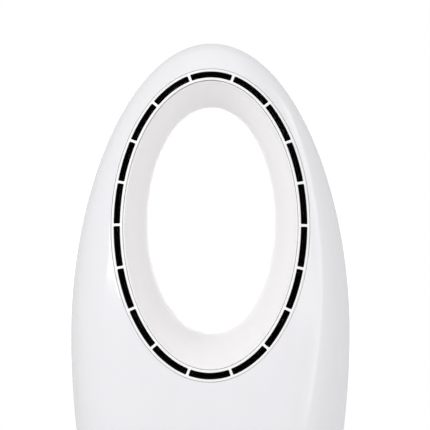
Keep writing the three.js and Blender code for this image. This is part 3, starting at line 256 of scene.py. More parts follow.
def ray_ends(centre, through, lowest):
    """Where rays from centre through the given points leave the egg's outline or reach the lowest level."""
    direction = unit(through - centre)
    low, high = np.zeros(len(through)), np.full(len(through), 1.0)
    for _ in range(HALVINGS):
        middle = (low + high) / 2
        p = centre + direction * middle[:, None]
        inside = (outline_share(p) < 1) & (p[:, 1] > lowest)
        low, high = np.where(inside, middle, low), np.where(inside, high, middle)
    return centre + direction * low[:, None]


def full_turn(count):
    """Evenly spread angles, all the way round."""
    return 2 * np.pi * np.arange(count) / count


def oval_stations(angles, semi_width, semi_height, centre_z):
    """Points of an upright ellipse in X and Z, and the normals that lead away from its middle."""
    cos, sin = np.cos(angles), np.sin(angles)
    points = np.stack([semi_width * cos, centre_z + semi_height * sin], 1)
    return points, unit(np.stack([cos / semi_width, sin / semi_height], 1))


def ring_stations(angles):
    """Points and normals of the ring's middle line."""
    return oval_stations(angles, RING_SEMI_WIDTH, RING_SEMI_HEIGHT, RING_Z)


def throat_stations(angles):
    """Points and normals of the throat, the narrowest place of the opening."""
    return oval_stations(angles, THROAT_SEMI_WIDTH, THROAT_SEMI_HEIGHT, THROAT_Z)


def at_depth(points, y):
    """Points in X and Z with their Y."""
    return np.stack([points[:, 0], np.broadcast_to(y, len(points)), points[:, 1]], 1)


def edge_round(steps=EDGE_STEPS):
    """How far a rounded edge still reaches out and how far it has fallen, from (1, 0) to (0, 1)."""
    turns = [math.pi / 2 * k / steps for k in range(steps + 1)]
    return [(1 - math.sin(turn), 1 - math.cos(turn)) for turn in turns]


# ---- Meshes ----------------------------------------------------------------------------------------
def new_object(name, mesh):
    obj = bpy.data.objects.new(name, mesh)
    bpy.context.scene.collection.objects.link(obj)
    return obj


def plain_mesh(obj):
    """The plain mesh that an object's modifiers make. The object and its own mesh are deleted."""
    bpy.context.view_layer.update()
    evaluated = obj.evaluated_get(bpy.context.evaluated_depsgraph_get())
    mesh, source = bpy.data.meshes.new_from_object(evaluated), obj.data
    bpy.data.objects.remove(obj)
    bpy.data.meshes.remove(source)
    return mesh


def mesh_from(points, faces):
    """A closed mesh with its faces turned outwards."""
    mesh = bpy.data.meshes.new("mesh")
    mesh.from_pydata(np.asarray(points, float).tolist(), [], faces)
    return tidied(mesh)


def tidied(mesh, merge=0.002 * MM):
    """The mesh with its doubles merged and its faces turned outwards."""
    bm = bmesh.new()
    bm.from_mesh(mesh)
    bmesh.ops.remove_doubles(bm, verts=bm.verts, dist=merge)
    bmesh.ops.dissolve_degenerate(bm, edges=bm.edges, dist=merge)
    bmesh.ops.recalc_face_normals(bm, faces=bm.faces)
    bm.to_mesh(mesh)
    bm.free()
    return mesh


def joined(meshes):
    """One mesh from several closed ones, which are deleted."""
    bm = bmesh.new()
    for mesh in meshes:
        bm.from_mesh(mesh)
        bpy.data.meshes.remove(mesh)
    mesh = bpy.data.meshes.new("mesh")
    bm.to_mesh(mesh)
    bm.free()
    return mesh


def cut(mesh, cutter_mesh):
    """A mesh less a closed one. Both are deleted."""
    obj, cutter = new_object("cut", mesh), new_object("cutter", cutter_mesh)
    modifier = obj.modifiers.new("Cut", "BOOLEAN")
    modifier.object = cutter
    modifier.operation = "DIFFERENCE"
    modifier.solver = "EXACT"
    result = plain_mesh(obj)
    bpy.data.objects.remove(cutter)
    bpy.data.meshes.remove(cutter_mesh)
    return result


def band(rows, closed=True):
    """A closed band: rows is a list of arrays, one point for each station, that goes round the section.

    A section that is not closed starts and ends on the axis that the band goes round.
    """
    grid = np.stack(rows, 1)
    stations, count = grid.shape[:2]
    faces = []
    for i in range(stations):
        here, there = i * count, (i + 1) % stations * count
        for k in range(count if closed else count - 1):
            nearby = (k + 1) % count
            faces.append((here + k, here + nearby, there + nearby, there + k))
    return mesh_from(grid.reshape(-1, 3), faces)


def turned(profile, steps=96, axis=Z_AXIS, centre=(0, 0, 0)):
    """A profile of (radius, distance along the axis) corners turned about an axis through centre."""
    angles = full_turn(steps)
    first, second = [k for k in range(3) if k != axis]
    rows = []
    for radius, along in profile:
        points = np.zeros((steps, 3))
        points[:, first] = radius * np.cos(angles)
        points[:, second] = radius * np.sin(angles)
        points[:, axis] = along
        rows.append(points + centre)
    return band(rows, closed=profile[0][0] > 0)


def cylinder(radius, top, centre, steps=40):
    return turned([(0, 0), (radius, 0), (radius, top), (0, top)], steps, Z_AXIS, centre)


def rounded_corner(corner, before, after, radius):
    """Points of an arc that rounds one corner of a profile."""
    corner, before, after = (np.array(p, float) for p in (corner, before, after))
    to_before, to_after = unit(before - corner), unit(after - corner)
    half = math.acos(float(np.clip(to_before @ to_after, -1, 1))) / 2
    reach = radius / math.tan(half)
    middle = corner + unit(to_before + to_after) * radius / math.sin(half)
    start, end = corner + to_before * reach - middle, corner + to_after * reach - middle
    turn = math.atan2(start[0] * end[1] - start[1] * end[0], start @ end)
    angles = [turn * k / EDGE_STEPS for k in range(EDGE_STEPS + 1)]
    return [tuple(middle + (start[0] * math.cos(a) - start[1] * math.sin(a),
                            start[0] * math.sin(a) + start[1] * math.cos(a))) for a in angles]


def rounded_profile(corners):
    """A closed profile from (radius, along, rounding) corners."""
    points = []
    for i, (r, z, rounding) in enumerate(corners):
        if rounding:
            before, after = corners[i - 1][:2], corners[(i + 1) % len(corners)][:2]
            points += rounded_corner((r, z), before, after, rounding)
        else:
            points.append((r, z))
    return points


def arc(centre, radius, from_degrees, to_degrees, steps):
    angles = np.radians(np.linspace(from_degrees, to_degrees, steps + 1))
    return np.stack([centre[0] + radius * np.cos(angles), centre[1] + radius * np.sin(angles)], 1)


def circle(centre, radius, steps=40):
    return arc(centre, radius, 0, 360, steps)[:-1]


def rounded_rectangle(centre, half, corner, steps=8, spacing=None):
    """A counter-clockwise rectangle outline with round corners, its straight sides cut into equal steps."""
    x, z = half[0] - corner, half[1] - corner
    arcs = [arc((centre[0] + side * x, centre[1] + up * z), corner, 90 * i, 90 * (i + 1), steps)
            for i, (side, up) in enumerate(CORNERS)]
    points = []
    for i, piece in enumerate(arcs):
        points += list(piece)
        start, end = piece[-1], arcs[(i + 1) % 4][0]
        cuts = int(np.linalg.norm(end - start) / spacing) if spacing else 0
        points += [start + (end - start) * k / (cuts + 1) for k in range(1, cuts + 1)]
    points = np.array(points)
    nearest = 0.001 * MM
    apart = np.linalg.norm(points - np.roll(points, -1, 0), axis=1) > nearest
    return points[apart]


def grown(half, margin):
    return half[0] + margin, half[1] + margin


def signed_area(outline):
    x, z = outline.T
    return np.sum(x * np.roll(z, -1) - np.roll(x, -1) * z) / 2


def within(points, outlines):
    """Which points lie in the material, by counting the edges crossed on the way out."""
    crossings = np.zeros(len(points), int)
    for outline in outlines:
        a, b = outline, np.roll(outline, -1, 0)
        for (ax, az), (bx, bz) in zip(a, b):
            spans = (az > points[:, 1]) != (bz > points[:, 1])
            if az != bz:
                at = ax + (points[:, 1] - az) / (bz - az) * (bx - ax)
                crossings += spans & (points[:, 0] < at)
    return crossings % 2 == 1


def filled(outlines, spacing):
    """Points and triangles that fill outlines; the outlines' own points come first and in their order."""
    low, high = outlines[0].min(0), outlines[0].max(0)
    counts = np.maximum(2, np.ceil((high - low) / spacing).astype(int))
    lines = [np.linspace(low[k], high[k], counts[k]) for k in (0, 1)]
    grid = np.stack(np.meshgrid(*lines), -1).reshape(-1, 2)
    grid = grid[within(grid, outlines)]
    boundary = np.concatenate(outlines)
    if len(grid):
        near = np.min(np.linalg.norm(grid[:, None] - boundary[None], axis=2), axis=1)
        grid = grid[near > spacing / 2]
    flat = np.concatenate([boundary, grid])
    edges, start = [], 0
    for outline in outlines:
        size = len(outline)
        edges += [(start + k, start + (k + 1) % size) for k in range(size)]
        start += size
    nearest = 1e-7
    made = geometry.delaunay_2d_cdt([Vector(p) for p in flat.tolist()], edges, [], 0, nearest)
    original = [ids[0] if ids else -1 for ids in made[3]]
    if -1 in original:
        raise ValueError("outlines of a plate cross")
    triangles = np.array([[original[v] for v in face] for face in made[2] if len(face) == 3])
    return flat, triangles[within(flat[triangles].mean(1), outlines)]


def plate(outlines, lift, thickness, edge=0.4 * MM, spacing=6 * MM, edge_steps=3):
    """A plate drawn in X and Z, the first outline round it and the others its holes.

    lift(x, z, depth) gives the Y of a point at a depth under the plate's face. The face's edges are rounded.
    """
    loops, inwards = [], []
    for i, outline in enumerate(outlines):
        loop = outline if (signed_area(outline) > 0) == (i == 0) else outline[::-1]
        along = unit(np.roll(loop, -1, 0) - np.roll(loop, 1, 0))
        loops.append(loop)
        inwards.append(np.stack([-along[:, 1], along[:, 0]], 1))
    face, triangles = filled([loop + inward * edge for loop, inward in zip(loops, inwards)], spacing)

    def lifted(flat, depth):
        return at_depth(flat, lift(flat[:, 0], flat[:, 1], depth))

    count = len(face)
    back = face.copy()
    outer = np.concatenate(loops)
    back[:len(outer)] = outer
    points = [lifted(face, 0.0), lifted(back, thickness)]
    faces = triangles.tolist() + (triangles[:, ::-1] + count).tolist()
    total, start = 2 * count, 0
    for loop, inward in zip(loops, inwards):
        size = len(loop)
        rows = [list(range(start, start + size))]
        for shrink, fall in edge_round(edge_steps)[1:]:
            points.append(lifted(loop + inward * edge * shrink, edge * fall))
            rows.append(list(range(total, total + size)))
            total += size
        rows.append(list(range(count + start, count + start + size)))
        for upper, lower in zip(rows, rows[1:]):
            faces += [(upper[k], upper[(k + 1) % size], lower[(k + 1) % size], lower[k]) for k in range(size)]
        start += size
    return mesh_from(np.concatenate(points), faces)


def front_lift(x, z, depth):
    """On the front of the egg form."""
    return depth - skin_depth(x, z)


def rear_lift(x, z, depth):
    """On the back of the egg form."""
    return skin_depth(x, z) - depth


def level_lift(face_y):
    """On a flat face that looks backwards."""
    def lift(x, z, depth):
        return np.full_like(x, face_y) - depth
    return lift


def bar(sections):
    """A closed bar through a list of sections, each an array of the same number of points."""
    count, last = len(sections[0]), (len(sections) - 1) * len(sections[0])
    faces = [tuple(range(count)), tuple(range(last + count - 1, last - 1, -1))]
    for i in range(len(sections) - 1):
        for k in range(count):
            a, b = i * count + k, i * count + (k + 1) % count
            faces.append((a, b, b + count, a + count))
    return mesh_from(np.concatenate(sections), faces)


def prism(outline, y0, y1):
    """A prism along Y over an outline in X and Z."""
    return bar([at_depth(outline, y0), at_depth(outline, y1)])


# ---- Node trees ------------------------------------------------------------------------------------
class Signal:
    """A node output that takes part in arithmetic; each operation adds its Math node."""

    def __init__(self, net, socket):
        self.net = net
        self.socket = socket

    def math(self, operation, *values):
        return self.net.add("ShaderNodeMath", {"operation": operation}, dict(enumerate(values)))

    def __add__(self, other):
        return self.math("ADD", self, other)

    def __sub__(self, other):
        return self.math("SUBTRACT", self, other)

    def __mul__(self, other):
        return self.math("MULTIPLY", self, other)

    def __truediv__(self, other):
        return self.math("DIVIDE", self, other)

    def __pow__(self, other):
        return self.math("POWER", self, other)

    def __rsub__(self, other):
        return self.math("SUBTRACT", other, self)

    def __neg__(self):
        return self.math("SUBTRACT", 0.0, self)

    __radd__ = __add__
    __rmul__ = __mul__

    def least(self, other):
        return self.math("MINIMUM", self, other)

    def most(self, other):
        return self.math("MAXIMUM", self, other)

    def root(self):
        return self.math("SQRT", self)

    def cosine(self):
        return self.math("COSINE", self)

    def sine(self):
        return self.math("SINE", self)

    def size(self):
        return self.math("ABSOLUTE", self)

    def above(self, other):
        return self.math("GREATER_THAN", self, other)

    def wrapped(self, length):
        return self.math("FLOORED_MODULO", self, length)

    def ramp(self, low, high, first=0.0, last=1.0):
        """Smoothly from first to last as the signal goes from low to high."""
        return self.net.add("ShaderNodeMapRange", {"interpolation_type": "SMOOTHSTEP"}, {
            "Value": self, "From Min": low, "From Max": high, "To Min": first, "To Max": last})

    def uneven(self, first, last):
        """From first to last over the values that noise mostly has."""
        return self.ramp(0.3, 0.7, first, last)


class Net:
    """A node tree that is being built."""

    def __init__(self, tree):
        self.tree = tree

    def add(self, kind, settings=None, inputs=None, output=0):
        """Adds a node and gives the signal of its output, or a list of signals for a tuple of outputs."""
        node = self.tree.nodes.new(kind)
        for key, value in (settings or {}).items():
            setattr(node, key, value)
        for key, value in (inputs or {}).items():
            self.feed(node.inputs[key], value)
        if isinstance(output, tuple):
            return [Signal(self, node.outputs[key]) for key in output]
        return Signal(self, node.outputs[output])

    def feed(self, socket, value):
        if isinstance(value, Signal):
            self.tree.links.new(value.socket, socket)
        else:
            socket.default_value = value

    def parts(self, vector):
        return self.add("ShaderNodeSeparateXYZ", None, {0: vector}, ("X", "Y", "Z"))

    def vector(self, x, y, z):
        return self.add("ShaderNodeCombineXYZ", None, {"X": x, "Y": y, "Z": z})


class FinishNet(Net):
    """The node tree of one material, around a Principled shader. Settings are its other sockets' values."""

    # A Mix node's sockets for colours, which share their names with its other sockets
    MIX_FIRST, MIX_SECOND, MIX_RESULT = 6, 7, 2

    def __init__(self, name, colour, roughness, **settings):
        self.material = bpy.data.materials.new(name)
        self.material.use_nodes = True
        super().__init__(self.material.node_tree)
        self.shader = self.tree.nodes["Principled BSDF"]
        self.material.diffuse_color = (*colour, 1)
        self.set("Base Color", (*colour, 1))
        self.set("Roughness", roughness)
        for key, value in settings.items():
            self.set(key.replace("_", " "), value)

    def set(self, key, value):
        self.feed(self.shader.inputs[key], value)

    def position(self):
        return self.add("ShaderNodeTexCoord", None, None, "Object")

    def noise(self, size, detail=2.0, stretch=(1, 1, 1)):
        """Noise with features of about the given size in metres, drawn out along an axis by stretch."""
        scale = [1 / s for s in stretch]
        scaled = self.add("ShaderNodeMapping", None, {"Vector": self.position(), "Scale": scale})
        return self.add("ShaderNodeTexNoise", None, {"Vector": scaled, "Scale": 1 / size, "Detail": detail})

    def blend(self, amount, first, second):
        """A colour between two; either may be a colour's signal."""
        first, second = [value if isinstance(value, Signal) else (*value, 1) for value in (first, second)]
        return self.add("ShaderNodeMix", {"data_type": "RGBA"}, {
            "Factor": amount, self.MIX_FIRST: first, self.MIX_SECOND: second}, self.MIX_RESULT)

    def relief(self, height, depth):
        """Bumps of the given depth in metres from a 0 to 1 height."""
        self.set("Normal", self.add("ShaderNodeBump", None, {"Height": height, "Distance": depth}))


def shifted(colour, factor):
    return tuple(min(1.0, c * factor) for c in colour)


def moulded(name, colour, roughness, grain=0.25 * MM, depth=0.01 * MM, cloud=0.02, **settings):
    """Moulded plastic: a faint cloudiness in its colour, an uneven gloss, and a fine surface grain."""
    cloud_size, wipe_size, unevenness = 60 * MM, 14 * MM, 0.12
    net = FinishNet(name, colour, roughness, **settings)
    clouds = net.noise(cloud_size, 3.0)
    net.set("Base Color", net.blend(clouds, shifted(colour, 1 - cloud), shifted(colour, 1 + cloud)))
    wipes = net.noise(wipe_size, 4.0)
    net.set("Roughness", wipes.uneven(roughness * (1 - unevenness), roughness * (1 + unevenness)))
    net.relief(net.noise(grain), depth)
    return net


def metal(name, colour, roughness, stretch=(1, 1, 12), size=0.4 * MM, depth=0.004 * MM):
    """Worked metal with fine lines from its tool."""
    stain_size = 9 * MM
    net = FinishNet(name, colour, roughness, Metallic=1.0)
    lines = net.noise(size, 3.0, stretch)
    net.set("Roughness", lines.ramp(0.25, 0.75, roughness * 0.8, roughness * 1.25))
    stains = net.noise(stain_size, 3.0)
    net.set("Base Color", net.blend(stains, shifted(colour, 0.9), shifted(colour, 1.06)))
    net.relief(lines, depth)
    return net


# Moulded plastics: colour, roughness, size and depth of the grain, and how cloudy the colour is
MOULDINGS = {
    "grey_moulding": ((0.27, 0.28, 0.29), 0.5, 0.35 * MM, 0.02 * MM, 0.04),
    "dark_moulding": ((0.028, 0.029, 0.031), 0.5, 0.35 * MM, 0.02 * MM, 0.08),
    "black_moulding": ((0.012, 0.012, 0.013), 0.45, 0.3 * MM, 0.015 * MM, 0.1),
    "impeller_moulding": ((0.095, 0.1, 0.11), 0.4, 0.3 * MM, 0.01 * MM, 0.05),
    "acetal": ((0.8, 0.77, 0.69), 0.35, 0.6 * MM, 0.006 * MM, 0.02),
    "lead_sheath": ((0.02, 0.02, 0.021), 0.5, 0.5 * MM, 0.02 * MM, 0.1),
}
# Metals: colour, roughness, how the lines are drawn out in X, Y and Z, and their size and depth
METALS = {
    "turned_steel": ((0.62, 0.63, 0.64), 0.3),
    "zinc_plate": ((0.72, 0.74, 0.76), 0.26, (1, 1, 1), 1.5 * MM),
    "brass": ((0.72, 0.53, 0.2), 0.26),
    "ground_iron": ((0.22, 0.22, 0.225), 0.45, (12, 1, 1), 0.5 * MM, 0.01 * MM),
}


def made_once(make):
    """Keeps what a function made, so that a finish is shared by its pieces."""
    kept = {}

    def get(*key):
        if key not in kept:
            kept[key] = make(*key)
        return kept[key]
    return get


@made_once
def finish(name):
    """The material of that name."""
    tint = bpy.context.scene.fan_finishes
    if name == "gloss_shell":
        net = moulded(name, tint.shell, tint.shell_roughness, grain=5 * MM, depth=0.002 * MM, cloud=0.008,
                      Coat_Weight=0.5, Coat_Roughness=0.04)
    elif name == "satin_ring":
        net = moulded(name, tint.ring, 0.38, grain=0.5 * MM, depth=0.004 * MM, cloud=0.006)
    elif name == "smooth_sleeve":
        net = moulded(name, tint.sleeve, 0.34, grain=6 * MM, depth=0.003 * MM, cloud=0.008)
    # The channel is black plastic; its near-black colour and its reflection turned almost off also stand in
    # for painted shade deep inside the slots
    elif name == "channel_black":
        net = moulded(name, tint.channel, 0.9, grain=0.6 * MM, cloud=0.1, Specular_IOR_Level=0.02)
    elif name in MOULDINGS:
        net = moulded(name, *MOULDINGS[name])
    else:
        net = metal(name, *METALS[name])
    return net.material


def disc_distance(x, z, radius):
    """Distance from the edge of a disc, negative inside."""
    return (x * x + z * z).root() - radius


def bar_distance(x, z, half_x, half_z):
    """Distance beyond an upright bar, negative inside it."""
    return (x.size() - half_x).most(z.size() - half_z)


def ink(distance, blur=0.05 * MM):
    """1 where the distance is negative and 0 outside, with a thin soft edge."""
    return distance.ramp(-blur, blur, 1.0, 0.0)


# The marks on the five buttons, each from x and z measured from the button's middle
def power_mark(x, z):
    radius, half_line = 2.0 * MM, 0.22 * MM
    ring = disc_distance(x, z, radius).size() - half_line
    break_in_ring = bar_distance(x, z - radius, 0.75 * MM, 1.1 * MM)
    stem = bar_distance(x, z - 1.6 * MM, half_line, 1.25 * MM)
    return ring.most(-break_in_ring).least(stem)


def swing_mark(x, z):
    half_length, half_line, tip, head_length = 2.1 * MM, 0.2 * MM, 2.6 * MM, 1.15 * MM
    shaft = bar_distance(x, z, half_length, half_line)
    past_tip = x.size() - tip
    head = (z.size() + past_tip).most(-past_tip - head_length)
    return shaft.least(head)


def slower_mark(x, z):
    half_length, half_line = 2.0 * MM, 0.25 * MM
    return bar_distance(x, z, half_length, half_line)


def faster_mark(x, z):
    return slower_mark(x, z).least(slower_mark(z, x))


def timer_mark(x, z):
    radius, half_line, half_hand = 2.1 * MM, 0.2 * MM, 0.18 * MM
    ring = disc_distance(x, z, radius).size() - half_line
    long_hand = bar_distance(x, z - 0.65 * MM, half_hand, 0.75 * MM)
    short_hand = bar_distance(x - 0.45 * MM, z, 0.55 * MM, half_hand)
    return ring.least(long_hand).least(short_hand)


BUTTONS = [
    ("power", power_mark), ("swing", swing_mark), ("slower", slower_mark),
    ("faster", faster_mark), ("timer", timer_mark),
]


def button_x(index):
    return (index - (len(BUTTONS) - 1) / 2) * BUTTON_PITCH


# ---- Pieces of the head ----------------------------------------------------------------------------
def shell_rows(centre, start, inner_end, edge, steps, side):
    """Rows of a shell's section from start on its skin to inner_end on its inside.

    They go out along the skin to the parting seam or the bottom edge, round that edge, through the wall and
    back along the inside. side is FRONT or REAR.
    """
    ends = ray_ends(centre, start, BODY_BOTTOM_Z)
    normals = outline_normal(ends)
    at_seam = ends[:, 1] > BODY_BOTTOM_Z + edge
    over_bottom = start[:, 1:] - BODY_BOTTOM_Z
    short = start + (ends - start) * ((over_bottom - edge) / over_bottom)
    skin_ends = np.where(at_seam[:, None], ends, short)
    rows = []
    for k in range(1, steps + 1):
        p = start + (skin_ends - start) * math.sin(math.pi / 2 * k / steps)
        rows.append((p, np.maximum(skin_at(p), HALF_SEAM + edge)))
    end_depth = rows[-1][1]
    for shrink, fall in edge_round()[1:]:
        inward, along = edge * fall, edge * (1 - shrink)
        at_bottom = np.stack([skin_ends[:, 0], skin_ends[:, 1] - along], 1)
        p = np.where(at_seam[:, None], skin_ends - normals * inward, at_bottom)
        depth = np.where(at_seam, HALF_SEAM + edge - along, np.maximum(end_depth - inward, HALF_SEAM))
        rows.append((p, depth))
    bottom = np.stack([ends[:, 0], np.full(len(ends), BODY_BOTTOM_Z)], 1)
    inner = np.where(at_seam[:, None], ends - normals * WALL, bottom)
    rows.append((inner, np.where(at_seam, HALF_SEAM, np.maximum(skin_at(inner, WALL), HALF_SEAM))))
    for k in range(INSIDE_STEPS - 1, 0, -1):
        p = inner_end + (inner - inner_end) * math.sin(math.pi / 2 * k / INSIDE_STEPS)
        rows.append((p, np.maximum(skin_at(p, WALL), HALF_SEAM)))
    return [at_depth(p, side * depth) for p, depth in rows]


def shell_angles(station_at, centre):
    """Evenly spread angles, of which two are moved to where the seam meets the bottom edge."""
    seam_x = EGG_HALF_WIDTH * math.sqrt(1 - height_share(np.array(BODY_BOTTOM_Z)))
    x, z = np.array([seam_x, BODY_BOTTOM_Z]) - centre
    wanted = math.atan2(z, x)
    low, high = 1.5 * math.pi, 2 * math.pi
    for _ in range(HALVINGS):
        middle = (low + high) / 2
        x, z = station_at(np.array([middle]))[0] - centre
        low, high = (middle, high) if math.atan2(z, x) < wanted else (low, middle)
    angles = full_turn(SHELL_STATIONS)
    for corner in (low, 3 * math.pi - low):
        angles[np.argmin(np.abs(angles - corner))] = corner
    return angles


def front_shell(edge):
    """The front half of the body, from the ring's opening out to the seam."""
    reach = RING_HALF_BAND + GAP
    centre = np.array([0, RING_Z])

    def opening(angles):
        path, normals = ring_stations(angles)
        return path + normals * (reach + edge)

    angles = shell_angles(opening, centre)
    path, normals = ring_stations(angles)
    hole = path + normals * reach
    rows = [at_depth(hole, -skin_at(hole, WALL))]
    for shrink, fall in reversed(edge_round()):
        p = path + normals * (reach + edge * shrink)
        rows.append(at_depth(p, edge * fall - skin_at(p)))
    return band(rows + shell_rows(centre, opening(angles), hole, edge, FRONT_STEPS, FRONT))


def lip_end(angles):
    """Where the rear lip meets the skin."""
    throat, normals = throat_stations(angles)
    return throat + normals * LIP_REACH


def lip_curve(angles):
    """The rear lip's section at each angle, a cubic curve from the throat out to the skin.

    Gives two functions: one of a share of the curve, for its offsets, depths and direction there, and one
    that puts offsets and depths in space.
    """
    throat, normals = throat_stations(angles)
    edge = lip_end(angles)
    end_y = skin_at(edge)
    fall = (skin_at(edge - normals * MM) - end_y) / MM
    start_y = THROAT_Y + HALF_SEAM
    lead = LIP_REACH * LIP_FULLNESS
    zero = np.zeros(len(angles))
    controls = np.stack([
        np.stack([zero, zero + start_y], 1),
        np.stack([zero, (start_y + end_y) / 2], 1),
        np.stack([zero + LIP_REACH - lead, end_y + lead * fall], 1),
        np.stack([zero + LIP_REACH, end_y], 1)])

    def at(t):
        weights = np.array([(1 - t) ** 3, 3 * t * (1 - t) ** 2, 3 * t * t * (1 - t), t ** 3])
        slopes = np.array([-3 * (1 - t) ** 2, 3 * (1 - t) * (1 - 3 * t), 3 * t * (2 - 3 * t), 3 * t * t])
        return np.tensordot(weights, controls, 1), unit(np.tensordot(slopes, controls, 1))

    def placed(section):
        return at_depth(throat + normals * section[:, :1], section[:, 1])

    return at, placed


def rear_shell(edge):
    """The rear half of the body, from the throat round its lip and out to the seam."""
    centre = np.array([0, THROAT_Z])
    angles = shell_angles(lip_end, centre)
    at, placed = lip_curve(angles)
    lip = [placed(at(k / LIP_STEPS)[0]) for k in range(LIP_STEPS + 1)]
    hidden = []
    for k in range(LIP_INSIDE_STEPS, -1, -1):
        point, along = at(k / LIP_INSIDE_STEPS)
        hidden.append(placed(point + WALL * np.stack([along[:, 1], -along[:, 0]], 1)))
    inner_edge = hidden[0][:, [0, 2]]
    return band(lip + shell_rows(centre, lip_end(angles), inner_edge, edge, REAR_STEPS, REAR) + hidden)


def duct_sleeve():
    """The opening's inner wall, from the ring back to the throat, which it reaches ever more gently."""
    angles = full_turn(SLEEVE_STATIONS)
    path, normals = ring_stations(angles)
    edge = path - normals * (RING_HALF_BAND + GAP)
    throat, _ = throat_stations(angles)
    recess = SLEEVE_RECESS + SLEEVE_CROWN_RECESS * np.clip(np.sin(angles), 0, None)
    front_y = recess - skin_at(edge)
    back_y = THROAT_Y - HALF_SEAM

    def along(t, outwards):
        p = edge + (throat - edge) * np.reshape(1 - (1 - t) ** 2, (-1, 1)) + normals * outwards
        return at_depth(p, front_y + (back_y - front_y) * t)

    rows = []
    for shrink, fall in reversed(edge_round()):
        p = edge - normals * SLEEVE_ROUNDING * shrink
        rows.append(at_depth(p, front_y + SLEEVE_ROUNDING * fall))
    # A narrow flat land follows the rounding and leads over to the wall
    rows.append(at_depth(edge - normals * SLEEVE_LAND * 0.75, front_y))
    rows.append(at_depth(edge - normals * SLEEVE_LAND, front_y + SLEEVE_LAND_FALL))
    start_share = 0.06
    rows += [along(start_share + (1 - start_share) * k / SLEEVE_STEPS, 0) for k in range(SLEEVE_STEPS + 1)]
    rows += [along(t, SLEEVE_WALL) for t in (1, 0.75, 0.5, 0.3)]
    narrowing = np.linalg.norm(edge - throat, axis=1)
    hidden_start = 1 - np.sqrt(1 - SLEEVE_WALL / narrowing)
    rows.append(at_depth(edge, front_y + (back_y - front_y) * hidden_start))
    return band(rows)


def path_length():
    """Length of the ring's middle line."""
    points, _ = ring_stations(full_turn(PATH_POINTS))
    return float(np.sum(np.linalg.norm(points - np.roll(points, 1, 0), axis=1)))


def slot_cell(edge, corner, front, back, narrowing=0.0):
    """One slot and its share of the ring, laid out flat: X along the ring, Z across it and Y its depth.

    The slot gets narrower towards its back. The two ends are left open, for the next cells to close.
    """
    half_pitch = path_length() / SLOT_COUNT / 2
    half_slot = half_pitch - BRIDGE_WIDTH / 2
    sharpest = 0.2 * MM

    def mirrored(quarter):
        quarter = np.array(quarter)
        left = quarter[-2::-1] * (-1, 1)
        upper = np.concatenate([quarter, left])
        lower = upper[-2:0:-1] * (1, -1)
        return np.concatenate([upper, lower])

    def loops(growth, band_half):
        """The slot's outline, grown, and its partners on the cell's outline, counter-clockwise."""
        a, b = half_slot + growth, SLOT_WIDTH / 2 + growth
        turn = max(corner + growth, sharpest)
        heights = (0.0, (b - turn) / 2, b - turn)
        slot = [(a, z) for z in heights]
        cell = [(half_pitch, z) for z in heights]
        partners = [(half_pitch, (b - turn + band_half) / 2), (half_pitch, band_half),
                    ((half_pitch + a - turn) / 2, band_half), (a - turn, band_half)]
        for k, partner in enumerate(partners, 1):
            angle = math.pi / 2 * k / len(partners)
            slot.append((a - turn + turn * math.cos(angle), b - turn + turn * math.sin(angle)))
            cell.append(partner)
        for k in range(1, SLOT_STEPS + 1):
            x = (a - turn) * (1 - k / SLOT_STEPS)
            slot.append((x, b))
            cell.append((x, band_half))
        return mirrored(slot), mirrored(cell)

    points, faces = [], []

    def row(flat, depth):
        start = len(points)
        points.extend((x, depth, z) for x, z in flat)
        return list(range(start, len(points)))

    def stitch(rows, closed=True):
        for first, second in zip(rows, rows[1:]):
            for k in range(len(first) if closed else len(first) - 1):
                following = (k + 1) % len(first)
                faces.append((first[k], first[following], second[following], second[k]))

    rim_edge = 2 * edge
    slot_top, cell_top = loops(edge, RING_HALF_BAND - rim_edge)
    slot_low, cell_low = loops(-narrowing, RING_HALF_BAND)
    face_rows = [row(slot_top + (cell_top - slot_top) * share, front) for share in (0, 0.35, 1)]
    wall_rows = [face_rows[0]]
    rim_rows = [face_rows[-1]]
    for shrink, fall in edge_round()[1:]:
        slot, cell = loops(edge * shrink, RING_HALF_BAND - rim_edge * shrink)
        wall_rows.append(row(slot, front + edge * fall))
        rim_rows.append(row(cell, front + rim_edge * fall))
    back_slot, back_cell = row(slot_low, back), row(cell_low, back)
    for rows in (face_rows, wall_rows + [back_slot], [back_slot, back_cell]):
        stitch(rows)
    for sign in (1, -1):
        side = [k for k, (_, z) in enumerate(cell_low) if math.isclose(z * sign, RING_HALF_BAND)]
        side.sort(key=lambda k: cell_low[k, 0])
        stitch([[rim[k] for k in side] for rim in rim_rows + [back_cell]], closed=False)
    mesh = bpy.data.meshes.new("cell")
    mesh.from_pydata(points, [], faces)
    return mesh


# ---- Geometry Nodes --------------------------------------------------------------------------------
def form_depth(x, z, inset):
    """The egg's skin depth at x and z, all of them signals."""
    h = z - EGG_WIDEST_Z
    above = (h.most(0.0) / (-inset + CROWN_RISE)) ** CROWN_POWER
    below = ((-h).most(0.0) / (-inset + SKIRT_SEMI_HEIGHT)) ** 2.0
    share = (x / (-inset + EGG_HALF_WIDTH)) ** 2.0 + above + below
    t = ((z - BELLY_Z) / (CROWN_Z - BELLY_Z)).most(0.0).least(1.0)
    swell = ((t * math.pi).cosine() + 1.0) * ((BELLY_HALF_DEPTH - CROWN_HALF_DEPTH) / 2)
    return (swell + CROWN_HALF_DEPTH - inset) * (1.0 - share ** (FACE_POWER / 2)).most(0.0).root()


def geometry_tree(name, inputs):
    """An empty Geometry Nodes tree with named inputs, and its group input's signals by name."""
    tree = bpy.data.node_groups.new(name, "GeometryNodeTree")
    inputs = {"Geometry": "Geometry", **inputs}
    for label, kind in inputs.items():
        tree.interface.new_socket(label, in_out="INPUT", socket_type=f"NodeSocket{kind}")
    tree.interface.new_socket("Geometry", in_out="OUTPUT", socket_type="NodeSocketGeometry")
    net = Net(tree)
    return net, dict(zip(inputs, net.add("NodeGroupInput", None, None, tuple(inputs))))


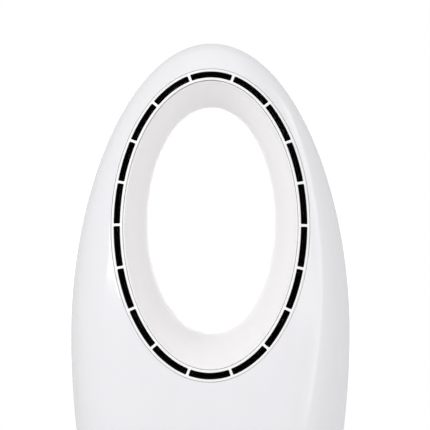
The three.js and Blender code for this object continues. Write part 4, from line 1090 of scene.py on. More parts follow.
def end_tree(net, instances, material, moved=None):
    """Realises the instances, lets moved place their points, and sets the material."""
    merge = 0.005 * MM
    real = net.add("GeometryNodeRealizeInstances", None, {"Geometry": instances})
    if moved is not None:
        real = net.add("GeometryNodeSetPosition", None, {"Geometry": real, "Position": moved})
    real = net.add("GeometryNodeMergeByDistance", None, {"Geometry": real, "Distance": merge})
    real = net.add("GeometryNodeSetMaterial", None, {"Geometry": real, "Material": material})
    net.add("NodeGroupOutput", None, {0: real}, ())


def run_tree(mesh, net, values):
    """The plain mesh that a tree makes of a mesh, which is deleted."""
    obj = new_object("tree", mesh)
    modifier = obj.modifiers.new("Made", "NODES")
    modifier.node_group = net.tree
    for item in net.tree.interface.items_tree:
        if item.in_out == "INPUT" and item.name in values:
            modifier[item.identifier] = values[item.name]
    return plain_mesh(obj)


def row_of(net, piece, count, start_x, pitch):
    """Copies of a piece side by side along X."""
    start, step = net.vector(start_x, 0.0, 0.0), net.vector(pitch, 0.0, 0.0)
    line = net.add("GeometryNodeMeshLine", {"mode": "OFFSET"}, {
        "Count": count, "Start Location": start, "Offset": step})
    return net.add("GeometryNodeInstanceOnPoints", None, {"Points": line, "Instance": piece})


def ring_tree():
    """Copies one slot's cell round the oval path and lays it on the egg form.

    Drop moves the slots at the two sides down, and Stretch makes those at the top and bottom longer.
    """
    net, given = geometry_tree("Slots round the ring", {
        "Slots": "Int", "Path length": "Float", "Drop": "Float", "Stretch": "Float",
        "Inset limit": "Float", "Finish": "Material"})
    length_round = given["Path length"]
    pitch = length_round / given["Slots"]
    cells = row_of(net, given["Geometry"], given["Slots"], pitch * 0.5, pitch)
    oval = net.add("GeometryNodeCurvePrimitiveCircle", None, {"Resolution": PATH_POINTS, "Radius": 1.0})
    oval = net.add("GeometryNodeTransform", None, {
        "Geometry": oval, "Scale": (RING_SEMI_WIDTH, RING_SEMI_HEIGHT, 1.0)})
    along, depth, across = net.parts(net.add("GeometryNodeInputPosition"))
    turn = along / length_round * (2 * math.pi)
    along = along - turn.cosine() * given["Drop"] - (turn * 2.0).sine() * given["Stretch"]
    centre, tangent = net.add(
        "GeometryNodeSampleCurve", {"mode": "FACTOR", "use_all_curves": True},
        {"Curves": oval, "Factor": along.wrapped(length_round) / length_round}, ("Position", "Tangent"))
    centre_x, centre_z, _ = net.parts(centre)
    tangent_x, tangent_z, _ = net.parts(tangent)
    x = centre_x + tangent_z * across
    z = centre_z - tangent_x * across + RING_Z
    inset = depth.least(given["Inset limit"])
    end_tree(net, cells, given["Finish"], net.vector(x, depth - inset - form_depth(x, z, inset), z))
    return net


def slats_tree():
    """Stands slats side by side and lays them on the egg form's rear."""
    net, given = geometry_tree("Slats on the rear", {"Slats": "Int", "Pitch": "Float", "Finish": "Material"})
    width = given["Pitch"] * (given["Slats"] - 1.0)
    slats = row_of(net, given["Geometry"], given["Slats"], width * -0.5, given["Pitch"])
    x, depth, z = net.parts(net.add("GeometryNodeInputPosition"))
    end_tree(net, slats, given["Finish"], net.vector(x, form_depth(x, z, x * 0.0) - depth, z))
    return net


def copies_tree():
    """Stands a piece at each point of a mesh, turned by the point's own turn."""
    net, given = geometry_tree("Copies at points", {"Piece": "Object", "Finish": "Material"})
    piece = net.add("GeometryNodeObjectInfo", None, {"Object": given["Piece"]}, "Geometry")
    turn = net.add("GeometryNodeInputNamedAttribute", {"data_type": "FLOAT_VECTOR"}, {"Name": "turn"})
    rotation = net.add("FunctionNodeEulerToRotation", None, {"Euler": turn})
    copied = net.add("GeometryNodeInstanceOnPoints", None, {
        "Points": given["Geometry"], "Instance": piece, "Rotation": rotation})
    end_tree(net, copied, given["Finish"])
    return net


def copies(piece_mesh, places, turn, material):
    """One plain mesh of copies of a piece, all turned alike, at the given places."""
    points = bpy.data.meshes.new("places")
    points.from_pydata([tuple(p) for p in places], [], [])
    turns = points.attributes.new("turn", "FLOAT_VECTOR", "POINT")
    turns.data.foreach_set("vector", np.tile(turn, len(places)).astype(float))
    piece = new_object("piece to copy", piece_mesh)
    mesh = run_tree(points, copies_tree(), {"Piece": piece, "Finish": material})
    bpy.data.objects.remove(piece)
    bpy.data.meshes.remove(piece_mesh)
    return mesh


# ---- Sizes and colours -----------------------------------------------------------------------------
def length_property(name, description, default, least=0.0, largest=0.02):
    return bpy.props.FloatProperty(name=name, description=description, default=default,
                                   min=least, max=largest, unit="LENGTH", precision=5)


def colour_property(name, description, default):
    return bpy.props.FloatVectorProperty(name=name, description=description, default=default,
                                         min=0.0, max=1.0, size=3, subtype="COLOR")


def angle_property(name, description, degrees, limit=1.5):
    return bpy.props.FloatProperty(name=name, description=description, default=math.radians(degrees),
                                   min=-limit, max=limit, subtype="ANGLE")


def share_property(name, description, default):
    return bpy.props.FloatProperty(name=name, description=description, default=default,
                                   min=0.0, max=1.0, subtype="FACTOR")


class FanEdges(bpy.types.PropertyGroup):
    """Radii of the visible edges."""

    shell_edge: length_property("Shell edge", "Rounding of the shells at their seams", 0.6 * MM)
    ring_edge: length_property("Ring edge", "Rounding of the outlet ring and its slots", 0.5 * MM)
    slot_corner: length_property("Slot corner", "Radius of a slot's corners, seen from the front", 1.1 * MM)
    panel_edge: length_property("Panel edge", "Rounding of the control panel and its lens", 0.5 * MM)
    slat_edge: length_property("Slat edge", "Rounding of the slats of the intake grille", 0.8 * MM)
    base_edge: length_property("Base edge", "Rounding of the base's lower rim and of its opening", 0.9 * MM)


class FanFinishes(bpy.types.PropertyGroup):
    """Colours and gloss of the finishes."""

    shell: colour_property("Shell", "Glossy white of the shells and the base", (0.874, 0.862, 0.89))
    ring: colour_property("Ring", "Satin white of the outlet ring and the buttons", (0.955, 0.955, 0.955))
    sleeve: colour_property("Sleeve", "Warm white of the opening's inner wall", (0.948, 0.933, 0.934))
    # The channel's colour is partly the black of its plastic and partly painted shade inside the deep slots
    channel: colour_property("Channel", "Black of the air channel behind the slots", (0.015, 0.015, 0.015))
    mark: colour_property("Marks", "Grey of the marks on the buttons", (0.16, 0.165, 0.175))
    light: colour_property("Display light", "Colour of the lit dots behind the lens", (0.75, 0.9, 1.0))
    shell_roughness: share_property("Shell roughness", "Roughness of the glossy shells", 0.16)


class FanStudio(bpy.types.PropertyGroup):
    """The studio round the fan."""

    distance: length_property("Camera distance", "From the camera to what it looks at", 2.165, 0.5, 10.0)
    view_width: length_property("View width", "Width that the picture shows at the fan", 0.4634, 0.1, 5.0)
    elevation: angle_property("Camera elevation", "Height of the camera as an angle above its aim", -2.04)
    turn: angle_property("Camera turn", "How far the camera stands to the right of the front", 0.39)
    roll: angle_property("Camera roll", "How far the camera leans to its left", 0.23, 0.5)
    aim: bpy.props.FloatVectorProperty(
        name="Camera aim", description="Middle of the camera's view",
        default=(0.0043, 0.0, 0.4078), size=3, subtype="TRANSLATION")
    ambient: share_property("Ambient light", "Strength of the even light from all round", 0.56)
    backdrop: share_property("Backdrop", "Brightness of the backdrop that the camera sees", 1.0)
    reflected: share_property("Reflected backdrop", "Brightness of the room that shows in reflections", 0.7)


# ---- Finishes made for single pieces ---------------------------------------------------------------
def button_finish(index):
    """The satin white of the ring with the button's own mark printed on it."""
    name, mark = BUTTONS[index]
    tint = bpy.context.scene.fan_finishes
    net = moulded(f"satin_{name}_button", tint.ring, 0.42, grain=0.4 * MM, depth=0.004 * MM)
    x, _, z = net.parts(net.position())
    painted = ink(mark(x - button_x(index), z - BUTTON_Z))
    clean = Signal(net, net.shader.inputs["Base Color"].links[0].from_socket)
    net.set("Base Color", net.blend(painted, clean, tint.mark))
    return net.material


def lens_finish():
    """Dark glossy lens with a row of round lights behind it, five of the eight lit."""
    net = FinishNet("dark_lens", (0.012, 0.013, 0.016), 0.06, Coat_Weight=1.0, Coat_Roughness=0.03,
                    Emission_Strength=1.0)
    x, _, z = net.parts(net.position())
    pitch, radius, lit, lights = 4.4 * MM, 0.85 * MM, 5, 8
    half_row = pitch * lights / 2
    across = x + half_row
    in_row = ink(x.size() - half_row)
    within_step = across.wrapped(pitch) - pitch / 2
    dots = ink(disc_distance(within_step, z - LENS_Z, radius), 0.12 * MM) * in_row
    on = (pitch * lit - across).above(0.0)
    smear = net.noise(9 * MM, 3.0)
    net.set("Roughness", smear.ramp(0.35, 0.75, 0.04, 0.1))
    base = net.blend(smear, (0.01, 0.011, 0.013), (0.016, 0.017, 0.02))
    net.set("Base Color", net.blend(dots * 0.6, base, (0.06, 0.065, 0.07)))
    net.set("Emission Color", net.blend(dots * on, (0, 0, 0), bpy.context.scene.fan_finishes.light))
    return net.material


def mesh_finish():
    """Fine woven nylon mesh of the intake filter."""
    net = FinishNet("woven_mesh", (0.05, 0.052, 0.055), 0.7)
    x, _, z = net.parts(net.position())
    pitch = 1.1 * MM
    upright, level = [(along.wrapped(pitch) - pitch / 2).size() for along in (x, z)]
    thread = upright.most(level).ramp(0.26 * pitch, 0.42 * pitch)
    dust = net.noise(12 * MM, 3.0)
    nylon = net.blend(dust, (0.05, 0.052, 0.055), (0.085, 0.086, 0.088))
    net.set("Base Color", net.blend(thread, (0.004, 0.004, 0.0045), nylon))
    net.set("Roughness", dust.uneven(0.6, 0.8))
    net.relief(thread, 0.2 * MM)
    return net.material


@made_once
def rubber_finish():
    """Dusty black rubber of the feet and the motor's mounts."""
    net = FinishNet("soft_rubber", (0.018, 0.018, 0.019), 0.75)
    dust = net.noise(5 * MM, 4.0)
    net.set("Base Color", net.blend(dust, (0.013, 0.013, 0.014), (0.034, 0.034, 0.036)))
    net.set("Roughness", dust.uneven(0.68, 0.86))
    net.relief(net.noise(0.3 * MM), 0.03 * MM)
    return net.material


def board_finish():
    """Green solder resist with copper tracks under it and bright solder joints."""
    net = FinishNet("circuit_board", (0.012, 0.09, 0.04), 0.35, Coat_Weight=0.3)
    x, y, z = net.parts(net.position())
    pitch = 2.54 * MM
    warp = net.noise(22 * MM, 1.0) * (3 * pitch)
    track = ((x + warp).wrapped(pitch) - pitch / 2).size().ramp(0.16 * pitch, 0.24 * pitch)
    u, v = [along.wrapped(pitch) - pitch / 2 for along in (x, y + z)]
    chosen = net.noise(7 * MM, 0.0).above(0.56)
    joint = ink(disc_distance(u, v, 0.65 * MM), 0.1 * MM) * chosen
    resist = net.blend(track, (0.02, 0.17, 0.07), (0.01, 0.08, 0.036))
    net.set("Base Color", net.blend(joint, resist, (0.68, 0.69, 0.7)))
    net.set("Metallic", joint)
    net.set("Roughness", joint.ramp(0.0, 1.0, 0.36, 0.25))
    net.relief(joint - track * 0.3, 0.15 * MM)
    return net.material


def winding_finish():
    """Enamelled copper wire, wound round the stator's poles."""
    net = FinishNet("copper_winding", (0.62, 0.26, 0.09), 0.3, Metallic=1.0)
    _, _, z = net.parts(net.position())
    half_wire = 0.3 * MM
    wire = (z.wrapped(2 * half_wire) - half_wire).size()
    tone = net.noise(4 * MM)
    net.set("Base Color", net.blend(tone, (0.5, 0.19, 0.06), (0.72, 0.33, 0.13)))
    net.set("Roughness", tone.uneven(0.24, 0.4))
    net.relief(wire / half_wire, -0.2 * MM)
    return net.material


# ---- Operators -------------------------------------------------------------------------------------
def show(name, mesh, material, body, slot, *nodes, sharp_degrees=40):
    """Makes a piece of a mesh: its finish, its body and the frame's nodes that it stands for; slot is not
    used.
    """
    mesh.name = name
    mesh.materials.clear()
    mesh.materials.append(material)
    mesh.shade_smooth()
    mesh.set_sharp_from_angle(angle=math.radians(sharp_degrees))
    obj = new_object(name, mesh)
    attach(obj, body)
    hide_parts(*nodes)


class FanOperator(bpy.types.Operator):
    """Base of the fan's operators."""

    bl_options = {"REGISTER", "UNDO"}

    @property
    def edges(self):
        return bpy.context.scene.fan_edges


class FAN_OT_front_shell(FanOperator):
    """Makes the front half of the egg-shaped body, with the openings for ring and control panel."""

    bl_idname = "fan.front_shell"
    bl_label = "Front shell"

    def execute(self, context):
        shell = cut(front_shell(self.edges.shell_edge), prism(panel_outline(GAP), -OUTSIDE, PANEL_CUT_Y))
        show("front_shell_look", shell, finish("gloss_shell"), "body", "gloss_white", "front_shell")
        return {"FINISHED"}


class FAN_OT_rear_shell(FanOperator):
    """Makes the rear half of the body, with its rounded lip, the intake window and the screw wells."""

    bl_idname = "fan.rear_shell"
    bl_label = "Rear shell"

    def execute(self, context):
        shell = cut(rear_shell(self.edges.shell_edge), prism(grille_outline(GAP), GRILLE_CUT_Y, OUTSIDE))
        shell = cut(shell, joined([prism(circle(xz, SCREW_WELL_RADIUS), SCREW_SEAT_Y, OUTSIDE)
                                   for xz in SHELL_SCREWS]))
        shell = joined([shell, *[screw_boss(xz) for xz in SHELL_SCREWS]])
        show("rear_shell_look", shell, finish("gloss_shell"), "body", "gloss_white", "rear_shell")
        return {"FINISHED"}


def screw_boss(xz):
    """The boss in which a shell screw sits: a tube from the seam to the skin, with a seat for the head."""
    hole, boss, well = [circle(xz, radius) for radius in (
        SCREW_HOLE_RADIUS, SCREW_BOSS_RADIUS, SCREW_WELL_RADIUS)]
    under_skin = [at_depth(outline, skin_at(outline) - WALL / 2) for outline in (boss, well)]
    return band([at_depth(hole, HALF_SEAM), at_depth(boss, HALF_SEAM), *under_skin,
                 at_depth(well, SCREW_SEAT_Y), at_depth(hole, SCREW_SEAT_Y)])


class FAN_OT_outlet(FanOperator):
    """Makes the outlet ring with its slots, the black channel behind it, partly painted shade, and the
    opening's inner wall.
    """

    bl_idname = "fan.outlet"
    bl_label = "Outlet ring, channel and sleeve"

    def execute(self, context):
        edge, corner = self.edges.ring_edge, self.edges.slot_corner
        tree = ring_tree()
        spacing = {"Slots": SLOT_COUNT, "Path length": path_length(),
                   "Drop": SLOT_DROP, "Stretch": SLOT_STRETCH}
        # black is the channel's finish, whose near-black is partly painted shade inside the slots
        satin, black = finish("satin_ring"), finish("channel_black")
        ring = run_tree(slot_cell(edge, corner, 0.0, RING_THICK), tree,
                        {**spacing, "Inset limit": RING_THICK, "Finish": satin})
        show("outlet_ring_look", tidied(ring), satin, "body", "satin_white", "outlet_ring",
             sharp_degrees=50)
        front = RING_THICK + GAP
        liner = run_tree(slot_cell(LINER_EDGE, corner, front, front + LINER_DEPTH, LINER_NARROWING), tree,
                         {**spacing, "Inset limit": front, "Finish": black})
        show("nozzle_liner_look", tidied(liner), black, "body", "black_plastic", "nozzle_liner")
        show("duct_sleeve_look", duct_sleeve(), finish("smooth_sleeve"), "body", "warm_white", "duct_sleeve",
             sharp_degrees=50)
        return {"FINISHED"}


def panel_outline(margin):
    half = grown(PANEL_HALF, margin)
    return rounded_rectangle((0, PANEL_Z), half, half[1], steps=20, spacing=5 * MM)


def lens_outline(margin):
    half = grown(LENS_HALF, margin)
    return rounded_rectangle((0, LENS_Z), half, half[1], steps=12, spacing=4 * MM)


def grille_outline(margin):
    half, corner = grown(GRILLE_HALF, margin), GRILLE_CORNER + margin
    return rounded_rectangle((0, GRILLE_Z), half, corner, steps=14, spacing=5 * MM)


class FAN_OT_controls(FanOperator):
    """Makes the control panel, the display lens and the five push buttons."""

    bl_idname = "fan.controls"
    bl_label = "Control panel and buttons"

    def execute(self, context):
        edge = self.edges.panel_edge
        holes = [circle((button_x(i), BUTTON_Z), BUTTON_RADIUS + GAP, steps=48) for i in range(len(BUTTONS))]
        panel = plate([panel_outline(0), lens_outline(GAP), *holes], front_lift, WALL, edge)
        show("control_panel_look", panel, finish("gloss_shell"), "body", "gloss_white", "control_panel")
        lens = plate([lens_outline(0)], front_lift, WALL, edge, spacing=4 * MM)
        show("display_lens_look", lens, lens_finish(), "body", "dark_lens", "display_lens")
        profile = rounded_profile([
            *[(r, -height, 0) for r, height in BUTTON_DISH], (BUTTON_RADIUS, -BUTTON_PROUD, BUTTON_EDGE),
            (BUTTON_RADIUS, BUTTON_BACK, 0), (0, BUTTON_BACK, 0)])
        for i, (name, _) in enumerate(BUTTONS):
            centre = (button_x(i), -float(skin_depth(button_x(i), BUTTON_Z)), BUTTON_Z)
            button = turned(profile, 64, Y_AXIS, centre)
            show(f"{name}_button_look", button, button_finish(i), f"{name}_key", "satin_white",
                 f"{name}_button")
        return {"FINISHED"}


class FAN_OT_intake(FanOperator):
    """Makes the intake grille's frame and slats, and the filter mesh behind them."""

    bl_idname = "fan.intake"
    bl_label = "Intake grille and filter"

    def execute(self, context):
        edge, gloss = self.edges.slat_edge, finish("gloss_shell")
        slat_width = GRILLE_PITCH - GRILLE_SLOT_WIDTH
        window = ((GRILLE_SLOTS * GRILLE_PITCH - slat_width) / 2, GRILLE_SLOT_HEIGHT / 2)
        opening = rounded_rectangle((0, GRILLE_Z), window, GRILLE_SLOT_CORNER, steps=5, spacing=5 * MM)
        face = plate([grille_outline(0), opening], rear_lift, WALL, edge)
        rim_edge = 0.1 * MM
        rim = plate([grille_outline(-rim_edge), grille_outline(-GRILLE_RIM)], rim_lift, 2 * MM, rim_edge)
        slats = run_tree(slat(slat_width, window[1] + SLAT_OVERLAP, edge), slats_tree(), {
            "Slats": GRILLE_SLOTS - 1, "Pitch": GRILLE_PITCH, "Finish": gloss})
        grille = joined([face, rim, slats])
        show("intake_grille_look", grille, gloss, "grille", "gloss_white", "intake_grille")
        pad = plate([grille_outline(-FILTER_INSET)], level_lift(FILTER_Y + FILTER_THICK), FILTER_THICK,
                    spacing=12 * MM)
        show("intake_filter_look", pad, mesh_finish(), "grille", "filter_mesh", "intake_filter")
        return {"FINISHED"}


def rim_lift(x, z, depth):
    """The rim behind the grille's face: its front lies inside the face, its back at the filter's back."""
    return np.where(depth < MM, skin_depth(x, z) - WALL * 0.6, FILTER_Y)


def slat(width, half_height, edge):
    """One upright slat, laid out flat: Y is its depth behind the skin."""
    half, steps = width / 2, 16
    corner = [(half - edge * shrink, edge * fall) for shrink, fall in edge_round()]
    section = corner + [(half, WALL), (-half, WALL)] + [(-x, y) for x, y in corner[::-1]]
    heights = GRILLE_Z + np.linspace(-half_height, half_height, steps + 1)
    return bar([np.array([(x, y, z) for x, y in section]) for z in heights])


FOOT_PLACES = [(x * FOOT_CENTRE, y * FOOT_CENTRE, 0) for x, y in CORNERS]


class FAN_OT_base(FanOperator):
    """Makes the round base with its plate and feet, and the turntable that carries the body."""

    bl_idname = "fan.base"
    bl_label = "Base, feet and turntable"

    def execute(self, context):
        window = rounded_rectangle((0, INLET_Z), grown(INLET_HALF, GAP), INLET_CORNER + GAP, steps=6)
        shell = turned(base_profile(self.edges.base_edge), steps=180)
        shell = cut(shell, prism(window, INLET_CUT_Y, OUTSIDE))
        show("base_shell_look", shell, finish("gloss_shell"), "base", "gloss_white", "base_shell")

        disc = turned(rounded_profile([
            (0, PLATE_BOTTOM_Z, 0), (PLATE_RADIUS, PLATE_BOTTOM_Z, PLATE_EDGE),
            (PLATE_RADIUS, PLATE_TOP_Z, 0), (0, PLATE_TOP_Z, 0)]), steps=144)
        wells = [cylinder(FOOT_RADIUS + GAP, FOOT_HEIGHT + GAP, place) for place in FOOT_PLACES]
        wells += [cylinder(SCREW_WELL_RADIUS, BASE_SCREW_WELL_TOP, (x, y, 0)) for x, y in BASE_SCREWS]
        show("base_plate_look", cut(disc, joined(wells)), finish("grey_moulding"), "base", "grey_plastic",
             "base_plate")

        dish_radius, dish_depth = FOOT_DISH
        foot = turned(rounded_profile([
            (0, dish_depth, 0), (dish_radius, dish_depth, 0), (FOOT_SOLE, 0, 0.15 * MM),
            (FOOT_RADIUS, 0, 0.7 * MM), (FOOT_RADIUS, FOOT_HEIGHT, 0.2 * MM), (0, FOOT_HEIGHT, 0)]), steps=48)
        rubber = rubber_finish()
        show("feet_look", copies(foot, FOOT_PLACES, (0, 0, 0), rubber), rubber, "base", "black_rubber",
             "foot_1", "foot_2", "foot_3", "foot_4")

        way = cylinder(PINION_WAY_RADIUS, OUTSIDE / 2, (0, PINION_Y, 0), steps=32)
        table = cut(turned(rounded_profile(TURNTABLE), steps=144), way)
        show("turntable_look", table, finish("dark_moulding"), "body", "dark_plastic", "turntable")
        return {"FINISHED"}


def base_profile(edge):
    """Section of the base's shell: upright side, rounded shoulder and a top that rises to the opening."""
    def shoulder(inset):
        rise = BASE_TOP_Z - BASE_SIDE_Z - inset
        return [(BASE_RADIUS - inset - BASE_SHOULDER * (1 - math.cos(a)), BASE_SIDE_Z + rise * math.sin(a), 0)
                for a in np.linspace(0, math.pi / 2, 13)]

    return rounded_profile([
        (BASE_RADIUS - WALL, BASE_RIM_Z, 0), (BASE_RADIUS, BASE_RIM_Z, edge), *shoulder(0),
        (OPENING_RADIUS, BASE_CROWN_Z, edge), (OPENING_RADIUS, BASE_CROWN_Z - WALL, 0),
        *reversed(shoulder(WALL))])


class FAN_OT_inlet(FanOperator):
    """Makes the power inlet in the back of the base, with its two pins."""

    bl_idname = "fan.inlet"
    bl_label = "Power inlet"

    def execute(self, context):
        def block(half, holes, front_y, back_y, edge=0.1 * MM):
            outline = rounded_rectangle((0, INLET_Z), half, INLET_CORNER, steps=6, spacing=3 * MM)
            return plate([outline, *holes], level_lift(front_y), front_y - back_y, edge, spacing=4 * MM)

        barrel, socket = grown(INLET_HALF, -INLET_FLANGE), socket_outline()
        floor_y = INLET_FACE_Y - SOCKET_DEPTH
        shoulder_y = INLET_FACE_Y - INLET_FLANGE
        inlet = joined([
            block(INLET_HALF, [socket], INLET_FACE_Y, shoulder_y, 0.35 * MM),
            block(barrel, [socket], shoulder_y + 0.1 * MM, floor_y),
            block(barrel, [], floor_y, INLET_FACE_Y - INLET_DEPTH)])
        show("power_inlet_look", inlet, finish("black_moulding"), "base", "black_plastic", "power_inlet")
        brass = finish("brass")
        pin = turned([(radius, -behind) for radius, behind in PIN], steps=24)
        places = [(side * SOCKET_PITCH / 2, floor_y + PIN_PROUD, INLET_Z) for side in (-1, 1)]
        pins = copies(pin, places, (-math.pi / 2, 0, 0), brass)
        show("inlet_pins_look", pins, brass, "base", "brass", "inlet_pin_left", "inlet_pin_right")
        return {"FINISHED"}


def socket_outline():
    """The inlet's socket seen from behind: two round ends joined by a narrower waist."""
    x, waist = SOCKET_PITCH / 2, SOCKET_WAIST / 2
    start = math.degrees(math.asin(waist / SOCKET_RADIUS))
    right = arc((x, INLET_Z), SOCKET_RADIUS, -180 + start, 180 - start, steps=28)
    left = arc((-x, INLET_Z), SOCKET_RADIUS, start, 360 - start, steps=28)
    return np.concatenate([right, left])


class FAN_OT_screws(FanOperator):
    """Makes the four shell screws and the three base screws, with cross recesses."""

    bl_idname = "fan.screws"
    bl_label = "Visible screws"

    def execute(self, context):
        zinc = finish("zinc_plate")
        facing_back, facing_down = (-math.pi / 2, 0, 0.3), (math.pi, 0, 0.4)
        shell = copies(screw(SCREW_HEAD_HEIGHT, SHELL_SCREW_LENGTH),
                       [(x, SCREW_SEAT_Y + GAP, z) for x, z in SHELL_SCREWS], facing_back, zinc)
        show("shell_screws_look", shell, zinc, "body", "zinc_steel",
             *[f"shell_screw_{i}" for i in (1, 2, 3, 4)])
        base = copies(screw(SCREW_HEAD_HEIGHT / 2, BASE_SCREW_LENGTH),
                      [(x, y, BASE_SCREW_SEAT_Z) for x, y in BASE_SCREWS], facing_down, zinc)
        show("base_screws_look", base, zinc, "base", "zinc_steel", *[f"base_screw_{i}" for i in (1, 2, 3)])
        return {"FINISHED"}


def screw(head_height, length):
    """A pan-head screw with a cross recess; the head stands up from z 0 and the shank points down."""
    (tip_radius, tip_length), shank = SCREW_TIP, SCREW_SHANK_RADIUS
    head = [(SCREW_HEAD_RADIUS * across, head_height * up) for across, up in SCREW_HEAD_FORM]
    mesh = turned([(0, -length), (tip_radius, -length), (shank, -length + tip_length), (shank, 0), *head], 32)
    for half_x, half_y in (CROSS_ARM, CROSS_ARM[::-1]):
        mesh = cut(mesh, bar([
            np.array([(x * half_x * size, y * half_y * size, head_height * up) for x, y in CORNERS])
            for size, up in CROSS_ENDS]))
    return mesh


INNER_FINISHES = {
    "grey_moulding": ("centre_post", "body_floor", "fan_deck", "fan_housing", "diffuser", "motor_cap"),
    "acetal": ("thrust_washer", "swing_gear", "swing_pinion"),
    "ground_iron": ("ballast_plate", "rotor_magnet"),
    "turned_steel": ("post_nut", "motor_can", "bearing_lower", "bearing_upper", "motor_shaft",
                     "impeller_nut"),
    "zinc_plate": ("floor_screw_1", "floor_screw_2", "floor_screw_3", "stepper_motor"),
    "lead_sheath": ("supply_lead",),
    "impeller_moulding": ("impeller",),
}


class FAN_OT_inner_parts(FanOperator):
    """Gives the inner parts, which keep the frame's shapes, their finishes."""

    bl_idname = "fan.inner_parts"
    bl_label = "Finishes of the inner parts"

    def execute(self, context):
        chosen = {node: finish(name) for name, nodes in INNER_FINISHES.items() for node in nodes}
        board, rubber = board_finish(), rubber_finish()
        chosen |= {"control_board": board, "power_board": board, "stator_core": winding_finish()}
        chosen |= {f"isolator_{i}": rubber for i in (1, 2, 3)}
        for node, material in chosen.items():
            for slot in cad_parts[node].material_slots:
                slot.material = material
        return {"FINISHED"}


STUDIO_AIM = (0, 0, 0.35)
# Name, place, size in metres and power in watts of each soft light
STUDIO_LIGHTS = [
    ("key", (-1.3, -1.6, 1.5), (1.2, 1.2), 19.4),
    ("fill", (1.3, -1.6, 1.2), (1.2, 1.2), 3.3),
    ("top", (0, -0.3, 2.2), (1.6, 1.6), 2.1),
]
BACK_LIGHT = ("back", (0.0, 1.8, 0.5), (1.25, 1.0), 7.5)
BACK_MIDDLE = 2.2
# A tall panel on the right, whose leaning bright edge draws a thin line in the gloss of the shell
SHEEN_LIGHT = ("sheen", (1.205, -0.564, 0.939), (0.6, 2.4), 12.6)
SHEEN_AIM = (0.149, 0.125, 0.525)
SHEEN_LEAN = (0.167, 0.624, 0.762)
SHEEN_FOOT = 0.55
FLOOR_HALF = 8.0
FLOOR_WHITE = (0.9, 0.9, 0.9)
# Distances from the fan between which the floor turns into the backdrop
FLOOR_FADE = (0.35, 1.0)


class FAN_OT_stage(FanOperator):
    """Sets up the pale floor and backdrop, the soft lights and the camera."""

    bl_idname = "fan.stage"
    bl_label = "Floor, lights and camera"

    def execute(self, context):
        studio = context.scene.fan_studio
        mesh = bpy.data.meshes.new("studio_floor")
        mesh.from_pydata([(x * FLOOR_HALF, y * FLOOR_HALF, 0) for x, y in CORNERS], [], [(0, 1, 2, 3)])
        mesh.materials.append(floor_finish(studio))
        floor = new_object("studio_floor", mesh)
        floor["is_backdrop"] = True
        light_world(studio)
        for light in STUDIO_LIGHTS:
            soft_light(*light)
        shape_light(soft_light(*BACK_LIGHT), faded_all_round)
        shape_light(soft_light(*SHEEN_LIGHT, SHEEN_AIM, SHEEN_LEAN), faded_to_left)
        set_camera(studio)
        context.scene.view_settings.view_transform = "Standard"
        return {"FINISHED"}


def seen_directly(net, studio):
    """Brightness of the backdrop: full to the camera and through glass, less in reflections, else 0."""
    camera, glossy, glass = net.add(
        "ShaderNodeLightPath", None, None, ("Is Camera Ray", "Is Glossy Ray", "Is Transmission Ray"))
    return (camera.most(glass) * studio.backdrop).most(glossy * studio.reflected)


def floor_finish(studio):
    """Pale matt floor, which turns into an even white backdrop away from the fan."""
    net = FinishNet("studio_floor", FLOOR_WHITE, 0.75)
    x, y, _ = net.parts(net.position())
    far = (x * x + y * y).root().ramp(*FLOOR_FADE)
    seen = seen_directly(net, studio)
    white = net.add("ShaderNodeEmission", None, {"Color": (1, 1, 1, 1), "Strength": seen})
    mixed = net.add("ShaderNodeMixShader", None, {
        0: far * seen.above(0.0), 1: Signal(net, net.shader.outputs[0]), 2: white})
    net.feed(net.tree.nodes["Material Output"].inputs["Surface"], mixed)
    return net.material


def light_world(studio):
    """Even light from all round; the camera and reflections see the backdrop in its place."""
    world = bpy.data.worlds.new("studio")
    world.use_nodes = True
    bpy.context.scene.world = world
    net = Net(world.node_tree)
    direct = seen_directly(net, studio)
    background = world.node_tree.nodes["Background"]
    background.inputs["Color"].default_value = (1, 1, 1, 1)
    net.feed(background.inputs["Strength"], direct + (1.0 - direct.above(0.0)) * studio.ambient)


def soft_light(name, place, size, power, aim=STUDIO_AIM, lean=(0, 0, 1)):
    """An area light that faces aim, with its height along lean. The camera doesn't see it."""
    light = bpy.data.lights.new(name, "AREA")
    light.shape = "RECTANGLE"
    light.size, light.size_y = size
    light.energy = power
    lamp = bpy.data.objects.new(name, light)
    backwards = (Vector(place) - Vector(aim)).normalized()
    height = Vector(lean)
    height = (height - backwards * height.dot(backwards)).normalized()
    lamp.matrix_world = Matrix((height.cross(backwards), height, backwards)).transposed().to_4x4()
    lamp.location = place
    lamp.visible_camera = False
    bpy.context.scene.collection.objects.link(lamp)
    return light


def shape_light(light, glow):
    """Gives a light the brightness that glow has across its face and up it, both from 0 to 1."""
    light.use_nodes = True
    net = Net(light.node_tree)
    across, up, _ = net.parts(net.add("ShaderNodeNewGeometry", None, None, "Parametric"))
    net.feed(light.node_tree.nodes["Emission"].inputs["Strength"], glow(across, up))


def faded_all_round(across, up):
    """Fades towards the light's edges, so that its reflection has no outline."""
    return (across * math.pi).sine() * (up * math.pi).sine() * BACK_MIDDLE


def faded_to_left(across, up):
    """Fades from full at the right edge to nothing at the left, and to about half at the foot."""
    return across ** 2.0 * (up * (1 - SHEEN_FOOT) + SHEEN_FOOT)


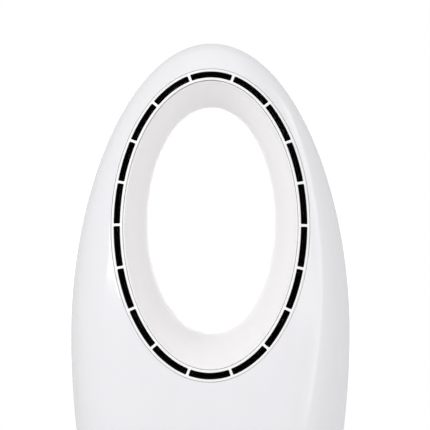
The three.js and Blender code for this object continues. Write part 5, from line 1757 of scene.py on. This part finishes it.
def set_camera(studio):
    """The camera of the photograph, which shows the upper body from the front and slightly from below."""
    data = bpy.data.cameras.new("camera")
    data.sensor_width = 36.0
    data.lens = data.sensor_width * studio.distance / studio.view_width
    data.clip_end = 100.0
    camera = bpy.data.objects.new("camera", data)
    turn, rise = studio.turn, studio.elevation
    back = Vector((math.sin(turn) * math.cos(rise), -math.cos(turn) * math.cos(rise), math.sin(rise)))
    camera.location = Vector(studio.aim) + back * studio.distance
    camera.rotation_euler = ((-back).to_track_quat("-Z", "Y") @ Quaternion((0, 0, 1), studio.roll)).to_euler()
    bpy.context.scene.collection.objects.link(camera)
    bpy.context.scene.camera = camera


# ---- Panel and registration ------------------------------------------------------------------------
OPERATORS = (
    FAN_OT_front_shell, FAN_OT_rear_shell, FAN_OT_outlet, FAN_OT_controls, FAN_OT_intake,
    FAN_OT_base, FAN_OT_inlet, FAN_OT_screws, FAN_OT_inner_parts, FAN_OT_stage,
)


class FAN_PT_look(bpy.types.Panel):
    """Lists the fan's sizes, colours and pieces."""

    bl_idname = "FAN_PT_look"
    bl_label = "Bladeless fan"
    bl_space_type = "VIEW_3D"
    bl_region_type = "UI"
    bl_category = "Fan"

    def draw(self, context):
        for group in (context.scene.fan_edges, context.scene.fan_finishes, context.scene.fan_studio):
            box = self.layout.box()
            for key in group.__annotations__:
                box.prop(group, key)
        for operator in OPERATORS:
            self.layout.operator(operator.bl_idname)


GROUPS = {"fan_edges": FanEdges, "fan_finishes": FanFinishes, "fan_studio": FanStudio}


def register():
    for cls in (*GROUPS.values(), *OPERATORS, FAN_PT_look):
        bpy.utils.register_class(cls)
    for key, group in GROUPS.items():
        setattr(bpy.types.Scene, key, bpy.props.PointerProperty(type=group))


def unregister():
    for key in GROUPS:
        delattr(bpy.types.Scene, key)
    for cls in (FAN_PT_look, *reversed(OPERATORS), *GROUPS.values()):
        bpy.utils.unregister_class(cls)


def write_sizes():
    """Makes lists of the corners of the frame's box and of the dressed fan's box."""
    boxes = {"cad": CAD_BOX, "visual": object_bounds()}
    plain = {key: [list(corner) for corner in box] for key, box in boxes.items()}


def main():
    register()
    for operator in OPERATORS:
        group, _, name = operator.bl_idname.partition(".")
        getattr(getattr(bpy.ops, group), name)()
    write_sizes()


if __name__ == "__main__":
    main()
